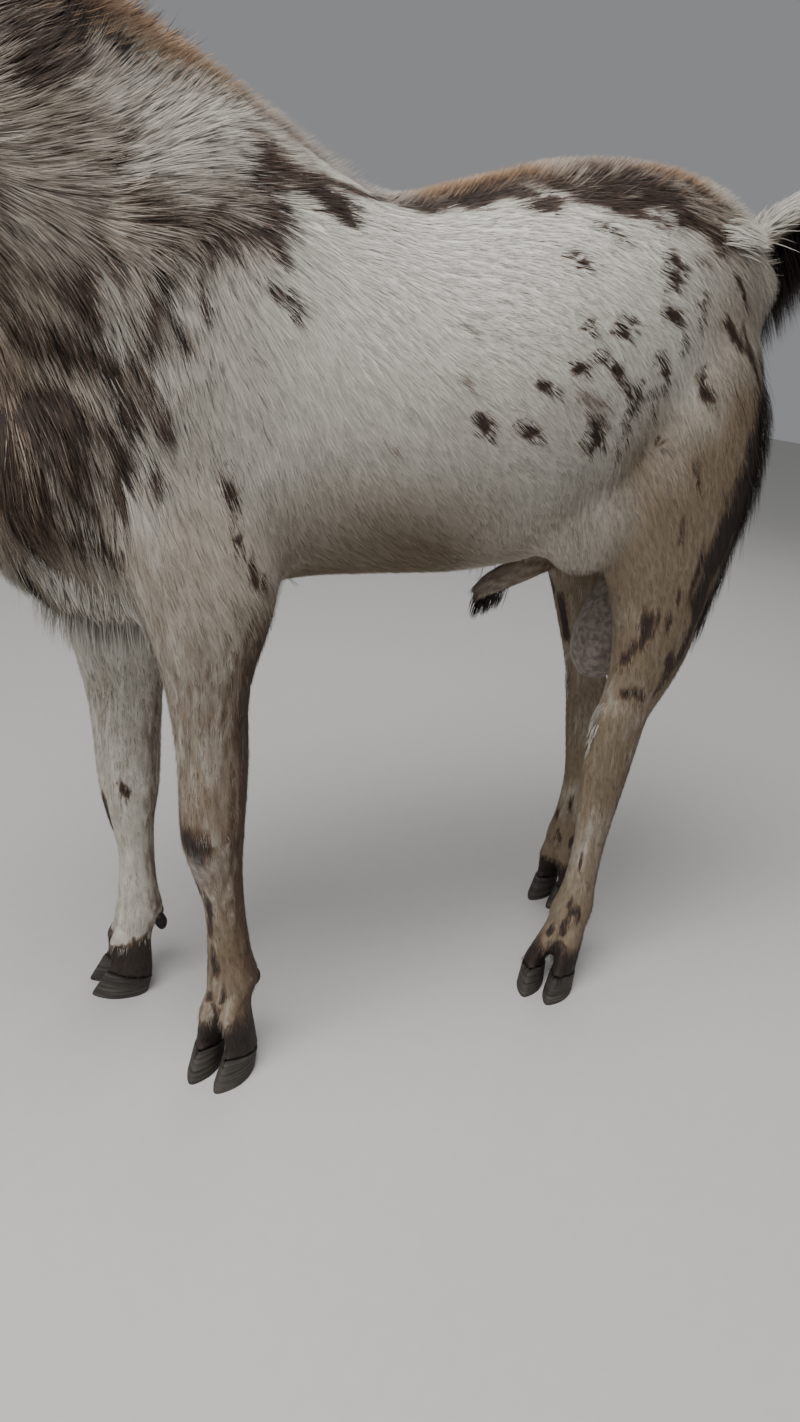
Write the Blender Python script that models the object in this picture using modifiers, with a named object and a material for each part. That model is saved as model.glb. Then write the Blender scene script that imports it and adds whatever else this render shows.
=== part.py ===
"""A makhi cheeni buck, life size, as a still museum model.

Metres, +Z up. The goat faces -X and its left side is -Y. The floor is z = 0. The body is modelled
whole, from lofts that are fused and smoothed, and is then parted with thin cuts into its named parts.
"""

import math
import random

import bmesh
import bpy
import numpy as np
from mathutils import Matrix, Vector
from mathutils.bvhtree import BVHTree

# driving sizes
GAP = 0.0003
LOCK_ROOM = 0.0008
BODY_SHIFT = -0.1220
FUSE_VOXEL = 0.0035
SOFTEN_STEPS = 110
BODY_TRIANGLES = 4200
HEAD_PITCH = math.radians(36)
HEAD_PLACE = Vector((-0.288, 0.0, 1.112))
EYE_RADIUS = 0.0162
EYE_PLACE = Vector((-0.096, 0.0462, 0.013))
HORN_BASE_RADIUS = 0.0255
EAR_LENGTH = 0.255
EAR_WIDTH = 0.104
EAR_THICKNESS = 0.0040
CLAW_LENGTH = 0.060
CLAW_WIDTH = 0.029
CLAW_HEIGHT = 0.027
HEEL_HEIGHT = 0.018
CORONET_BULGE = 1.06
CLAW_SIDES = 12
CLAW_LEAN = 0.17
CLAW_SPREAD = math.radians(5)
CLEFT = 0.0036
DEWCLAW_SIZE = 0.0075
DEWCLAW_BACK = 0.024
DEWCLAW_ASIDE = 0.012
HORN_REACH = 0.245
HORN_TWIST = math.radians(330)
HORN_RINGS = 7
LID_UPPER = math.radians(38)
LID_LOWER = math.radians(-30)
MOUTH_CORNER_X = -0.178
MOUTH_FRONT_X = -0.272
MOUTH_HALF_WIDTH = 0.0300
MOUTH_Z = -0.058
NOSTRIL = Vector((-0.262, 0.0165, -0.026))
LOCK_THICKNESS = 0.0070
LOCK_SINK = 0.006
SHORT_LOCK = (-0.1, 0.48)
LONG_LOCK = (-0.1, 0.32, 0.70)
LONG_FROM = 0.068
LOCK_STRAY = 0.16
LOCK_SEED = 7
BEARD_LENGTH = 0.074
BEARD_WIDTH = 0.019
FORELOCK_LENGTH = 0.045

# where the limbs, the head and the neck part from the trunk, in the XZ plane
INNER_FACE = 0.030
FORE_STEP = -0.022
HOCK_CUT = 0.400
FORELEG_REGION = (
    (-0.26, -0.05), (-0.26, 0.56), (-0.06, 0.575), (0.055, 0.545), (0.095, 0.475), (0.110, 0.400),
    (0.110, -0.05),
)
HIND_LEFT_REGION = (
    (0.33, -0.05), (0.41, 0.44), (0.378, 0.530), (0.420, 0.620), (0.500, 0.675), (0.70, 0.695),
    (0.70, -0.05),
)
HIND_RIGHT_REGION = (
    (0.38, -0.05), (0.43, 0.44), (0.385, 0.530), (0.425, 0.620), (0.505, 0.675), (0.72, 0.695),
    (0.72, -0.05),
)
HEAD_REGION = (
    (-0.225, 1.30), (-0.245, 1.10), (-0.312, 0.975), (-0.352, 0.938), (-0.375, 0.78), (-0.65, 0.78),
    (-0.65, 1.30),
)
NECK_REGION = (
    (-0.010, 1.00), (-0.060, 0.82), (-0.115, 0.66), (-0.250, 0.545), (-0.65, 0.545), (-0.65, 1.40),
    (-0.010, 1.40),
)

# torso: x, top, bottom, half width, height of the widest place
TORSO = (
    (-0.150, 0.700, 0.540, 0.050, 0.610),
    (-0.105, 0.790, 0.462, 0.086, 0.600),
    (-0.040, 0.868, 0.436, 0.108, 0.600),
    (0.030, 0.872, 0.446, 0.119, 0.605),
    (0.100, 0.835, 0.474, 0.129, 0.615),
    (0.185, 0.801, 0.478, 0.142, 0.625),
    (0.275, 0.823, 0.477, 0.148, 0.640),
    (0.365, 0.848, 0.490, 0.138, 0.665),
    (0.450, 0.857, 0.520, 0.118, 0.690),
    (0.530, 0.850, 0.555, 0.096, 0.700),
    (0.590, 0.822, 0.610, 0.062, 0.715),
    (0.612, 0.780, 0.670, 0.030, 0.725),
)

# neck: crest x and z, throat x and z, half width
NECK = (
    (0.060, 0.850, -0.090, 0.480, 0.090),
    (-0.010, 0.884, -0.170, 0.578, 0.096),
    (-0.075, 0.915, -0.212, 0.690, 0.087),
    (-0.132, 0.968, -0.240, 0.785, 0.075),
    (-0.184, 1.030, -0.274, 0.870, 0.065),
    (-0.230, 1.090, -0.312, 0.940, 0.058),
    (-0.262, 1.134, -0.340, 0.985, 0.054),
)

# skull along its own axis, nose towards -X: x, top, bottom, half width of the brow, of the cheek
SKULL = (
    (0.034, 0.016, -0.066, 0.032, 0.032),
    (0.000, 0.038, -0.094, 0.048, 0.046),
    (-0.043, 0.048, -0.103, 0.058, 0.050),
    (-0.092, 0.052, -0.094, 0.058, 0.045),
    (-0.140, 0.048, -0.085, 0.044, 0.038),
    (-0.188, 0.033, -0.081, 0.035, 0.034),
    (-0.226, 0.012, -0.080, 0.031, 0.032),
    (-0.254, -0.012, -0.076, 0.026, 0.027),
    (-0.270, -0.034, -0.066, 0.016, 0.017),
)

# near and far forelegs: z, front x, back x, half width, y of the middle
FORELEG_LEFT = (
    (0.640, -0.085, 0.060, 0.028, -0.074),
    (0.540, -0.070, 0.084, 0.040, -0.084),
    (0.470, -0.042, 0.077, 0.040, -0.088),
    (0.405, -0.021, 0.057, 0.031, -0.088),
    (0.335, -0.010, 0.058, 0.026, -0.086),
    (0.262, -0.006, 0.056, 0.028, -0.083),
    (0.225, 0.004, 0.056, 0.023, -0.081),
    (0.180, 0.018, 0.060, 0.0185, -0.079),
    (0.130, 0.022, 0.068, 0.020, -0.077),
    (0.098, 0.022, 0.076, 0.025, -0.077),
    (0.070, 0.021, 0.059, 0.018, -0.084),
)
FORELEG_RIGHT = (
    (0.640, -0.090, 0.055, 0.028, 0.074),
    (0.540, -0.085, 0.066, 0.040, 0.084),
    (0.470, -0.080, 0.052, 0.040, 0.088),
    (0.400, -0.068, 0.032, 0.031, 0.088),
    (0.330, -0.053, 0.024, 0.026, 0.086),
    (0.245, -0.046, 0.020, 0.028, 0.084),
    (0.205, -0.038, 0.014, 0.023, 0.083),
    (0.165, -0.028, 0.013, 0.0185, 0.083),
    (0.120, -0.029, 0.016, 0.020, 0.083),
    (0.088, -0.033, 0.021, 0.025, 0.083),
    (0.060, -0.035, 0.001, 0.018, 0.083),
)
HIND_LEG_LEFT = (
    (0.770, 0.440, 0.560, 0.030, -0.048),
    (0.690, 0.400, 0.592, 0.050, -0.062),
    (0.600, 0.385, 0.598, 0.053, -0.074),
    (0.520, 0.405, 0.576, 0.046, -0.083),
    (0.450, 0.438, 0.550, 0.038, -0.087),
    (0.400, 0.448, 0.540, 0.031, -0.086),
    (0.362, 0.446, 0.526, 0.024, -0.085),
    (0.330, 0.438, 0.507, 0.022, -0.084),
    (0.290, 0.435, 0.500, 0.022, -0.082),
    (0.245, 0.435, 0.493, 0.020, -0.081),
    (0.180, 0.440, 0.482, 0.0165, -0.080),
    (0.125, 0.434, 0.476, 0.018, -0.081),
    (0.092, 0.421, 0.474, 0.023, -0.083),
    (0.065, 0.420, 0.456, 0.017, -0.086),
)
HIND_LEG_RIGHT = (
    (0.770, 0.440, 0.560, 0.030, 0.048),
    (0.690, 0.405, 0.594, 0.050, 0.062),
    (0.600, 0.396, 0.606, 0.053, 0.074),
    (0.520, 0.430, 0.604, 0.046, 0.080),
    (0.450, 0.472, 0.598, 0.038, 0.082),
    (0.385, 0.498, 0.584, 0.030, 0.082),
    (0.335, 0.515, 0.572, 0.022, 0.081),
    (0.300, 0.522, 0.582, 0.022, 0.080),
    (0.250, 0.530, 0.576, 0.020, 0.080),
    (0.180, 0.540, 0.577, 0.0165, 0.080),
    (0.125, 0.536, 0.576, 0.018, 0.080),
    (0.092, 0.528, 0.578, 0.023, 0.080),
    (0.065, 0.530, 0.566, 0.017, 0.078),
)

# feet: middle of the sole on the floor, and the angle the toes turn out from straight ahead
FEET = {
    "fore_left": (0.033, -0.090, math.radians(-42), FORELEG_LEFT),
    "fore_right": (-0.028, 0.083, math.radians(6), FORELEG_RIGHT),
    "hind_left": (0.418, -0.091, math.radians(-38), HIND_LEG_LEFT),
    "hind_right": (0.542, 0.074, math.radians(-22), HIND_LEG_RIGHT),
}

# tail, scrotum and sheath: x, z and radius along each
TAIL = (
    (0.570, 0.768, 0.026),
    (0.610, 0.798, 0.020),
    (0.652, 0.832, 0.016),
    (0.692, 0.856, 0.012),
    (0.724, 0.866, 0.006),
)
SCROTUM = (
    (0.524, 0.505, 0.018),
    (0.518, 0.468, 0.020),
    (0.510, 0.432, 0.028),
    (0.500, 0.395, 0.032),
    (0.491, 0.362, 0.026),
    (0.487, 0.345, 0.010),
)
SHEATH = (
    (0.470, 0.512, 0.022),
    (0.420, 0.492, 0.019),
    (0.380, 0.474, 0.016),
    (0.345, 0.460, 0.014),
    (0.323, 0.447, 0.010),
)

# the long hair, in rows: first and last root, way in to the skin, lie, number, length, width, rise, and
# how far it hangs free of the skin (0 follows it, 1 hangs)
CREST_IN = (-0.75, 0.0, -0.66)
BOTH_SIDES = {
    "neck": (
        ((-0.24, 0.01, 1.11), (-0.082, 0.012, 0.93), CREST_IN, (0.62, 0.3, -0.55), 6, 0.054, 0.038, 0.6, 0),
        ((-0.236, 0.2, 1.068), (-0.096, 0.2, 0.88), (0, -1, 0), (0.38, 0.05, -0.92), 4, 0.06, 0.054, 0.16, 0),
        ((-0.256, 0.2, 1.015), (-0.13, 0.2, 0.8), (0, -1, 0), (0.26, 0.05, -0.96), 5, 0.06, 0.054, 0.16, 0),
        ((-0.278, 0.2, 0.95), (-0.186, 0.2, 0.715), (0, -1, 0), (0.2, 0.05, -0.97), 5, 0.06, 0.05, 0.16, 0),
        ((-0.29, 0.022, 0.89), (-0.22, 0.026, 0.66), (1, 0, 0), (0.02, 0.1, -1), 4, 0.06, 0.04, 0.22, 0),
    ),
    "torso": (
        ((-0.03, 0.014, 0.95), (0.07, 0.012, 0.9), (0, 0, -1), (0.85, 0.25, -0.25), 3, 0.042, 0.04, 0.3, 0),
        ((-0.034, 0.2, 0.81), (0.07, 0.2, 0.79), (0, -1, 0), (0.4, 0.05, -0.9), 3, 0.06, 0.056, 0.14, 0),
        ((-0.07, 0.2, 0.74), (0.084, 0.2, 0.725), (0, -1, 0), (0.32, 0.05, -0.93), 3, 0.06, 0.058, 0.14, 0),
        ((-0.096, 0.2, 0.668), (0.056, 0.2, 0.655), (0, -1, 0), (0.28, 0.05, -0.95), 3, 0.06, 0.058, 0.14, 0),
        ((-0.3, 0.016, 0.62), (-0.3, 0.02, 0.55), (1, 0, 0), (0.2, 0.1, -1), 2, 0.056, 0.042, 0.2, 0),
    ),
    "thigh": (
        ((0.7, 0.056, 0.662), (0.7, 0.066, 0.484), (-1, 0, 0), (0.06, -0.1, -1), 6, 0.062, 0.038, 0.18, 0),
        ((0.7, 0.094, 0.65), (0.7, 0.092, 0.494), (-1, 0, 0), (0.06, 0.1, -1), 5, 0.062, 0.038, 0.18, 0),
    ),
    "tail": (
        ((0.624, 0.009, 0.7), (0.682, 0.006, 0.7), (0, 0, 1), (0.2, 0.2, -0.95), 3, 0.086, 0.026, 0.1, 1),
        ((0.632, 0.006, 0.95), (0.7, 0.004, 0.95), (0, 0, -1), (0.75, 0.14, 0.52), 2, 0.04, 0.024, 0.2, 0),
    ),
}
MIDDLE = {
    "torso": (
        ((0.11, 0, 0.9), (0.56, 0, 0.95), (0, 0, -1), (1, 0, 0), 12, 0.036, 0.038, 0.28, 0),
    ),
    "tail": (
        ((0.616, 0, 0.7), (0.702, 0, 0.7), (0, 0, 1), (0.24, 0, -0.95), 4, 0.096, 0.026, 0.1, 1),
    ),
    "sheath": (
        ((0.336, 0, 0.4), (0.35, 0, 0.4), (0, 0, 1), (-0.35, 0, -0.9), 3, 0.038, 0.014, 0.1, 1),
    ),
}
# roots of the beard and of the forelock in the head's own frame
BEARD_ROOTS = ((-0.238, 0), (-0.228, 0.011), (-0.226, -0.012), (-0.21, 0.002), (-0.196, -0.006))
FORELOCK_ROOTS = ((-0.02, 0.007), (-0.024, -0.011), (-0.046, 0.002))

COLOURS = {
    "coat": (0.72, 0.68, 0.62),
    "neck coat": (0.45, 0.38, 0.32),
    "breech hair": (0.10, 0.07, 0.06),
    "hoof horn": (0.20, 0.19, 0.18),
    "horn": (0.17, 0.14, 0.12),
    "eye": (0.35, 0.22, 0.06),
    "bare skin": (0.36, 0.22, 0.20),
}


def clear_scene():
    """Remove whatever the scene holds, and make the two collections."""
    for thing in list(bpy.data.objects):
        bpy.data.objects.remove(thing, do_unlink=True)
    for name in ("goat", "cutters"):
        if name not in bpy.data.collections:
            bpy.context.scene.collection.children.link(bpy.data.collections.new(name))


def material(name, roughness=0.8):
    """One Principled material of a named colour."""
    found = bpy.data.materials.get(name)
    if found:
        return found
    made = bpy.data.materials.new(name)
    made.use_nodes = True
    shader = made.node_tree.nodes["Principled BSDF"]
    shader.inputs["Base Color"].default_value = (*COLOURS[name], 1.0)
    shader.inputs["Roughness"].default_value = roughness
    shader.inputs["Metallic"].default_value = 0.0
    return made


def add_object(name, mesh, collection="goat"):
    """Put a mesh in the scene as an object."""
    thing = bpy.data.objects.new(name, mesh)
    bpy.data.collections[collection].objects.link(thing)
    return thing


def smooth_rows(rows, steps):
    """Catmull-Rom rows between hand-chosen stations, so many to each span."""
    table = np.array(rows, float)
    padded = np.vstack([2 * table[0] - table[1], table, 2 * table[-1] - table[-2]])
    out = []
    for i in range(len(table) - 1):
        p0, p1, p2, p3 = padded[i : i + 4]
        for k in range(steps):
            t = k / steps
            out.append(
                0.5
                * (
                    2 * p1
                    + (p2 - p0) * t
                    + (2 * p0 - 5 * p1 + 4 * p2 - p3) * t**2
                    + (3 * p1 - p0 - 3 * p2 + p3) * t**3
                )
            )
    out.append(table[-1])
    return out


def ring(centre, across, up, down, count, fullness=1.0):
    """Points round an oval whose upper and lower halves may differ."""
    points = []
    for i in range(count):
        angle = 2 * math.pi * i / count
        c, s = math.cos(angle), math.sin(angle)
        wide = math.copysign(abs(c) ** fullness, c)
        high = math.copysign(abs(s) ** fullness, s)
        points.append(centre + across * wide + (up * high if s >= 0 else down * -high))
    return points


def loft(name, rings, collection="goat"):
    """A closed body through rings of like counts, faces pointing out."""
    bm = bmesh.new()
    rows = [[bm.verts.new(p) for p in points] for points in rings]
    count = len(rows[0])
    for low, high in zip(rows, rows[1:]):
        for i in range(count):
            j = (i + 1) % count
            bm.faces.new((low[i], low[j], high[j], high[i]))
    bm.faces.new(rows[0][::-1])
    bm.faces.new(rows[-1])
    bmesh.ops.recalc_face_normals(bm, faces=bm.faces)
    mesh = bpy.data.meshes.new(name)
    bm.to_mesh(mesh)
    bm.free()
    return add_object(name, mesh, collection)


def ball(name, centre, radii, turn=None, count=20, collection="goat"):
    """An ellipsoid with named half lengths, turned before it is placed."""
    bm = bmesh.new()
    bmesh.ops.create_uvsphere(bm, u_segments=count, v_segments=count // 2, radius=1.0)
    place = Matrix.Translation(centre) @ (turn or Matrix()) @ Matrix.Diagonal((*radii, 1.0))
    bmesh.ops.transform(bm, matrix=place, verts=bm.verts)
    mesh = bpy.data.meshes.new(name)
    bm.to_mesh(mesh)
    bm.free()
    return add_object(name, mesh, collection)


def rod(name, rows, count=14, side=1.0, collection="goat"):
    """A round tapered body along rows of x, z and radius in the middle plane."""
    rings = []
    rows = smooth_rows(rows, 2)
    for i, (x, z, radius) in enumerate(rows):
        before = rows[max(i - 1, 0)]
        after = rows[min(i + 1, len(rows) - 1)]
        along = Vector((after[0] - before[0], 0, after[1] - before[1])).normalized()
        across = Vector((0, 1, 0))
        up = across.cross(along)
        rings.append(ring(Vector((x, 0, z)), across * radius * side, up * radius, up * -radius, count))
    return loft(name, rings, collection)


def trunk():
    """Torso, from the point of the chest to the rump."""
    rings = []
    for x, top, low, wide, middle in smooth_rows(TORSO, 3):
        centre = Vector((x, 0, middle))
        up = Vector((0, 0, top - middle))
        down = Vector((0, 0, low - middle))
        rings.append(ring(centre, Vector((0, wide, 0)), up, down, 40, 0.92))
    return loft("torso form", rings)


def neck():
    """Neck, deep at the shoulders and drawn in towards the throat."""
    rings = []
    for cx, cz, tx, tz, wide in smooth_rows(NECK, 3):
        crest, throat = Vector((cx, 0, cz)), Vector((tx, 0, tz))
        centre = crest.lerp(throat, 0.54)
        rings.append(ring(centre, Vector((0, wide, 0)), crest - centre, throat - centre, 32))
    return loft("neck form", rings)


def head_place():
    """From the head's own frame to the goat's."""
    return Matrix.Translation(HEAD_PLACE) @ Matrix.Rotation(-HEAD_PITCH, 4, "Y")


def skull():
    """Skull with the arched nose, and the forms that stand on it."""
    place = head_place()
    rings = []
    for x, top, low, brow, cheek in smooth_rows(SKULL, 3):
        points = []
        middle = low + 0.55 * (top - low)
        for p in ring(Vector((x, 0, middle)), Vector((0, 1, 0)), Vector((0, 0, top - middle)),
                      Vector((0, 0, low - middle)), 32, 0.86):
            share = (p.z - low) / (top - low)
            wide = cheek + (brow - cheek) * share
            if share < 0.5:
                wide *= 0.62 + 0.76 * share
            points.append(place @ Vector((x, p.y * wide, p.z)))
        rings.append(points)
    forms = [loft("skull form", rings)]
    for side in (-1, 1):
        tilt = place.to_3x3().to_4x4()
        bumps = (
            ("orbit", (-0.092, 0.041, 0.018), (0.038, 0.019, 0.026)),
            ("cheek", (-0.036, 0.034, -0.050), (0.052, 0.018, 0.046)),
            ("nostril wing", (-0.247, 0.015, -0.024), (0.020, 0.014, 0.015)),
            ("upper lip", (-0.240, 0.014, -0.050), (0.030, 0.018, 0.013)),
            ("chin", (-0.238, 0.006, -0.070), (0.024, 0.016, 0.013)),
            ("horn boss", (0.004, 0.026, 0.028), (0.026, 0.022, 0.012)),
            ("ear root", (0.010, 0.044, 0.002), (0.020, 0.014, 0.020)),
        )
        for name, at, radii in bumps:
            centre = place @ Vector((at[0], at[1] * side, at[2]))
            forms.append(ball(name, centre, radii, tilt))
    return forms


def leg(name, rows):
    """One leg from inside the body to the pastern."""
    rings = []
    for z, front, back, wide, y in smooth_rows(rows, 3):
        centre = Vector(((front + back) / 2, y, z))
        half = Vector(((back - front) / 2, 0, 0))
        rings.append(ring(centre, half, Vector((0, wide, 0)), Vector((0, -wide, 0)), 24, 0.95))
    return loft(name, rings)


def muscles():
    """Shoulders, elbows, hips, flanks and breast, which shape the trunk."""
    forms = []
    for side in (-1, 1):
        lean = Matrix.Rotation(math.radians(18), 4, "Y")
        forms.append(ball("blade", Vector((-0.010, side * 0.068, 0.700)), (0.090, 0.040, 0.140), lean))
        forms.append(ball("point of shoulder", Vector((-0.082, side * 0.062, 0.585)), (0.070, 0.038, 0.085)))
        forms.append(ball("hip", Vector((0.420, side * 0.066, 0.792)), (0.060, 0.032, 0.036)))
        forms.append(ball("pin bone", Vector((0.578, side * 0.046, 0.762)), (0.034, 0.024, 0.034)))
        forms.append(ball("flank", Vector((0.392, side * 0.088, 0.548)), (0.075, 0.026, 0.062)))
    forms.append(ball("breast", Vector((-0.100, 0, 0.566)), (0.058, 0.062, 0.098)))
    return forms


def crest_core():
    """The low core of the hair that stands along the neck and the withers."""
    rings = []
    for x, z in ((-0.255, 1.124), (-0.220, 1.082), (-0.170, 1.018), (-0.110, 0.948), (-0.050, 0.902),
                 (0.010, 0.876), (0.060, 0.845), (0.110, 0.815)):
        rings.append(ring(Vector((x, 0, z)), Vector((0, 0.010, 0)), Vector((0.006, 0, 0.014)),
                          Vector((0, 0, -0.025)), 12))
    return loft("crest core", rings)


def join_meshes(name, things):
    """One object from several, which are removed."""
    bm = bmesh.new()
    for thing in things:
        copy = thing.data.copy()
        copy.transform(thing.matrix_world)
        bm.from_mesh(copy)
        bpy.data.meshes.remove(copy)
    for thing in things:
        bpy.data.objects.remove(thing, do_unlink=True)
    mesh = bpy.data.meshes.new(name)
    bm.to_mesh(mesh)
    bm.free()
    return add_object(name, mesh)


def apply_modifiers(thing):
    """Keep the evaluated mesh and drop the modifiers."""
    bpy.context.view_layer.update()
    shown = thing.evaluated_get(bpy.context.evaluated_depsgraph_get())
    mesh = bpy.data.meshes.new_from_object(shown)
    thing.modifiers.clear()
    thing.data = mesh
    return thing


def fused_body():
    """Every form of flesh in one smooth body of few triangles."""
    forms = [trunk(), neck(), *skull(), *muscles(), crest_core()]
    for name, (_, _, _, rows) in FEET.items():
        forms.append(leg(f"leg {name}", rows))
    body = join_meshes("body", forms)
    remesh = body.modifiers.new("fuse", "REMESH")
    remesh.mode = "VOXEL"
    remesh.voxel_size = FUSE_VOXEL
    apply_modifiers(body)
    soft = body.vertex_groups.new(name="soft")
    for v in body.data.vertices:
        trunk_share = min(max((v.co.z - 0.42) / 0.12, 0.0), 1.0)
        head_share = min(max((HEAD_PLACE.x + 0.07 - v.co.x) / 0.06, 0.0), 1.0)
        soft.add([v.index], max(0.06 + 0.94 * trunk_share - 0.72 * head_share, 0.06), "REPLACE")
    smooth = body.modifiers.new("soften", "SMOOTH")
    smooth.factor = 0.5
    smooth.iterations = SOFTEN_STEPS
    smooth.vertex_group = "soft"
    apply_modifiers(body)
    thin = body.modifiers.new("thin out", "DECIMATE")
    count = sum(len(p.vertices) - 2 for p in body.data.polygons)
    thin.ratio = BODY_TRIANGLES / count
    apply_modifiers(body)
    return body


def triangulate(thing):
    """Plain triangles, so that later cuts meet flat faces only."""
    bm = bmesh.new()
    bm.from_mesh(thing.data)
    bmesh.ops.triangulate(bm, faces=bm.faces)
    bm.to_mesh(thing.data)
    bm.free()
    return thing


def boolean(thing, other, operation, solver="EXACT"):
    """Join, cut or keep what two closed bodies share, and apply it."""
    step = thing.modifiers.new("boolean", "BOOLEAN")
    step.object = other
    step.operation = operation
    step.solver = solver
    return apply_modifiers(thing)


def prism(name, outline, low, high):
    """An outline in the XZ plane drawn out along Y."""
    bm = bmesh.new()
    corners = [bm.verts.new((x, low, z)) for x, z in outline]
    face = bm.faces.new(corners)
    drawn = bmesh.ops.extrude_face_region(bm, geom=[face])
    moved = [v for v in drawn["geom"] if isinstance(v, bmesh.types.BMVert)]
    bmesh.ops.translate(bm, verts=moved, vec=(0, high - low, 0))
    bmesh.ops.recalc_face_normals(bm, faces=bm.faces)
    mesh = bpy.data.meshes.new(name)
    bm.to_mesh(mesh)
    bm.free()
    return guide(add_object(name, mesh, "cutters"))


def guide(thing):
    """Mark an object as a cutter."""
    thing.hide_render = True
    thing.display_type = "WIRE"
    return thing


def part_off(body, name, region):
    """Take what a closed region holds out of the body, with a thin gap between."""
    piece = add_object(name, body.data.copy())
    boolean(piece, region, "INTERSECT")
    wall = region.modifiers.new("gap", "SOLIDIFY")
    wall.thickness = GAP
    wall.offset = 1.0
    apply_modifiers(region)
    hull = bmesh.new()
    hull.from_mesh(region.data)
    shells = islands(hull)
    outer = max(shells, key=island_size)
    drop = [v for shell in shells if shell is not outer for v in shell]
    bmesh.ops.delete(hull, geom=drop, context="VERTS")
    bmesh.ops.recalc_face_normals(hull, faces=hull.faces)
    hull.to_mesh(region.data)
    hull.free()
    boolean(body, region, "DIFFERENCE")
    bpy.data.objects.remove(region, do_unlink=True)
    keep_largest(piece)
    return piece


def islands(bm):
    """The vertices of each loose body in a mesh."""
    seen, out = set(), []
    for start in bm.verts:
        if start in seen:
            continue
        stack, found = [start], []
        seen.add(start)
        while stack:
            v = stack.pop()
            found.append(v)
            for edge in v.link_edges:
                other = edge.other_vert(v)
                if other not in seen:
                    seen.add(other)
                    stack.append(other)
        out.append(found)
    return out


def island_size(shell):
    """How much room a loose body takes, by the diagonal of its box."""
    places = np.array([v.co for v in shell])
    return float(np.linalg.norm(places.max(0) - places.min(0)))


def keep_largest(thing):
    """Drop all but the largest closed surface."""
    bm = bmesh.new()
    bm.from_mesh(thing.data)
    shells = islands(bm)
    outer = max(shells, key=island_size)
    drop = [v for shell in shells if shell is not outer for v in shell]
    if drop:
        bmesh.ops.delete(bm, geom=drop, context="VERTS")
    bm.to_mesh(thing.data)
    bm.free()
    return thing


def cut_clear(thing, other):
    """Cut one body clear of another by the gap, and keep its largest piece."""
    grown = guide(add_object("grown", other.data.copy(), "cutters"))
    swell = grown.modifiers.new("swell", "DISPLACE")
    swell.strength = GAP
    swell.mid_level = 0.0
    apply_modifiers(grown)
    boolean(thing, grown, "DIFFERENCE")
    bpy.data.objects.remove(grown, do_unlink=True)
    return keep_largest(thing)


def combine(thing, pieces, operation):
    """Fuse or cut a body with many closed meshes in one step, and keep the largest surface."""
    crowd = bpy.data.collections.new("crowd")
    bpy.context.scene.collection.children.link(crowd)
    for piece in pieces:
        crowd.objects.link(piece)
    step = thing.modifiers.new("combine", "BOOLEAN")
    step.operand_type = "COLLECTION"
    step.collection = crowd
    step.operation = operation
    step.solver = "EXACT"
    apply_modifiers(thing)
    bpy.data.collections.remove(crowd)
    return keep_largest(thing)


def union_all(thing, pieces):
    """Fuse closed meshes to one body in one step, and drop them."""
    combine(thing, pieces, "UNION")
    for piece in pieces:
        bpy.data.objects.remove(piece, do_unlink=True)
    return thing


def foot_frame(x, y, turn):
    """The foot's forward and sideways directions on the floor."""
    ahead = Vector((-math.cos(turn), math.sin(turn), 0.0))
    side = Vector((0, 0, 1)).cross(ahead)
    return Vector((x, y, 0.0)), ahead, side


def claw_ring(x, y, turn, hand, share, grow=1.0, lift=0.0):
    """One level of a claw: share 0 is the sole and 1 the coronet, on one sloping plane."""
    middle, ahead, side = foot_frame(x, y, turn + hand * CLAW_SPREAD)
    middle = middle + side * hand * (CLAW_WIDTH * 0.5 + CLEFT * 0.5)
    middle = middle - ahead * (CLAW_LEAN * share * CLAW_LENGTH)
    half_long = CLAW_LENGTH * 0.5 * (1 - 0.20 * share)
    half_wide = CLAW_WIDTH * 0.5 * (1 - 0.10 * share)
    points = []
    for i in range(CLAW_SIDES):
        angle = 2 * math.pi * i / CLAW_SIDES
        c, s = math.cos(angle), math.sin(angle)
        reach = math.copysign(abs(c) ** 0.85, c) * grow
        narrow = (1 - 0.42 * max(c, 0.0) ** 1.5) * grow
        height = share * (HEEL_HEIGHT + (CLAW_HEIGHT - HEEL_HEIGHT) * (0.5 + 0.5 * reach)) + lift
        flat = ahead * reach * half_long + side * s * narrow * half_wide
        points.append(middle + flat + Vector((0, 0, height)))
    return points


def claws_and_digits(name, leg_piece):
    """Two horn claws on the floor, and the two digits that the leg ends in."""
    x, y, turn, rows = FEET[name]
    joint = Vector(((rows[-1][1] + rows[-1][2]) / 2, rows[-1][4], rows[-1][0]))
    fetlock = Vector(((rows[-2][1] + rows[-2][2]) / 2, rows[-2][4], rows[-2][0]))
    _, ahead, side = foot_frame(x, y, turn)
    claws, digits = [], []
    for hand, label in ((1, "a"), (-1, "b")):
        levels = [claw_ring(x, y, turn, hand, share) for share in (0.0, 0.5, 1.0)]
        claws.append(triangulate(loft(f"claw_{name}_{label}", levels)))
        coronet = claw_ring(x, y, turn, hand, 1.0, CORONET_BULGE, GAP)
        swell = claw_ring(x, y, turn, hand, 1.3, CORONET_BULGE)
        low = ring(joint + side * hand * 0.0105, ahead * 0.024, side * 0.0150, side * -0.0150, CLAW_SIDES)
        high = ring(fetlock + side * hand * 0.0085, ahead * 0.020, side * 0.013, side * -0.013, CLAW_SIDES)
        digits.append(triangulate(loft("digit", [coronet, swell, low, high])))
    union_all(leg_piece, digits)
    return claws


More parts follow.
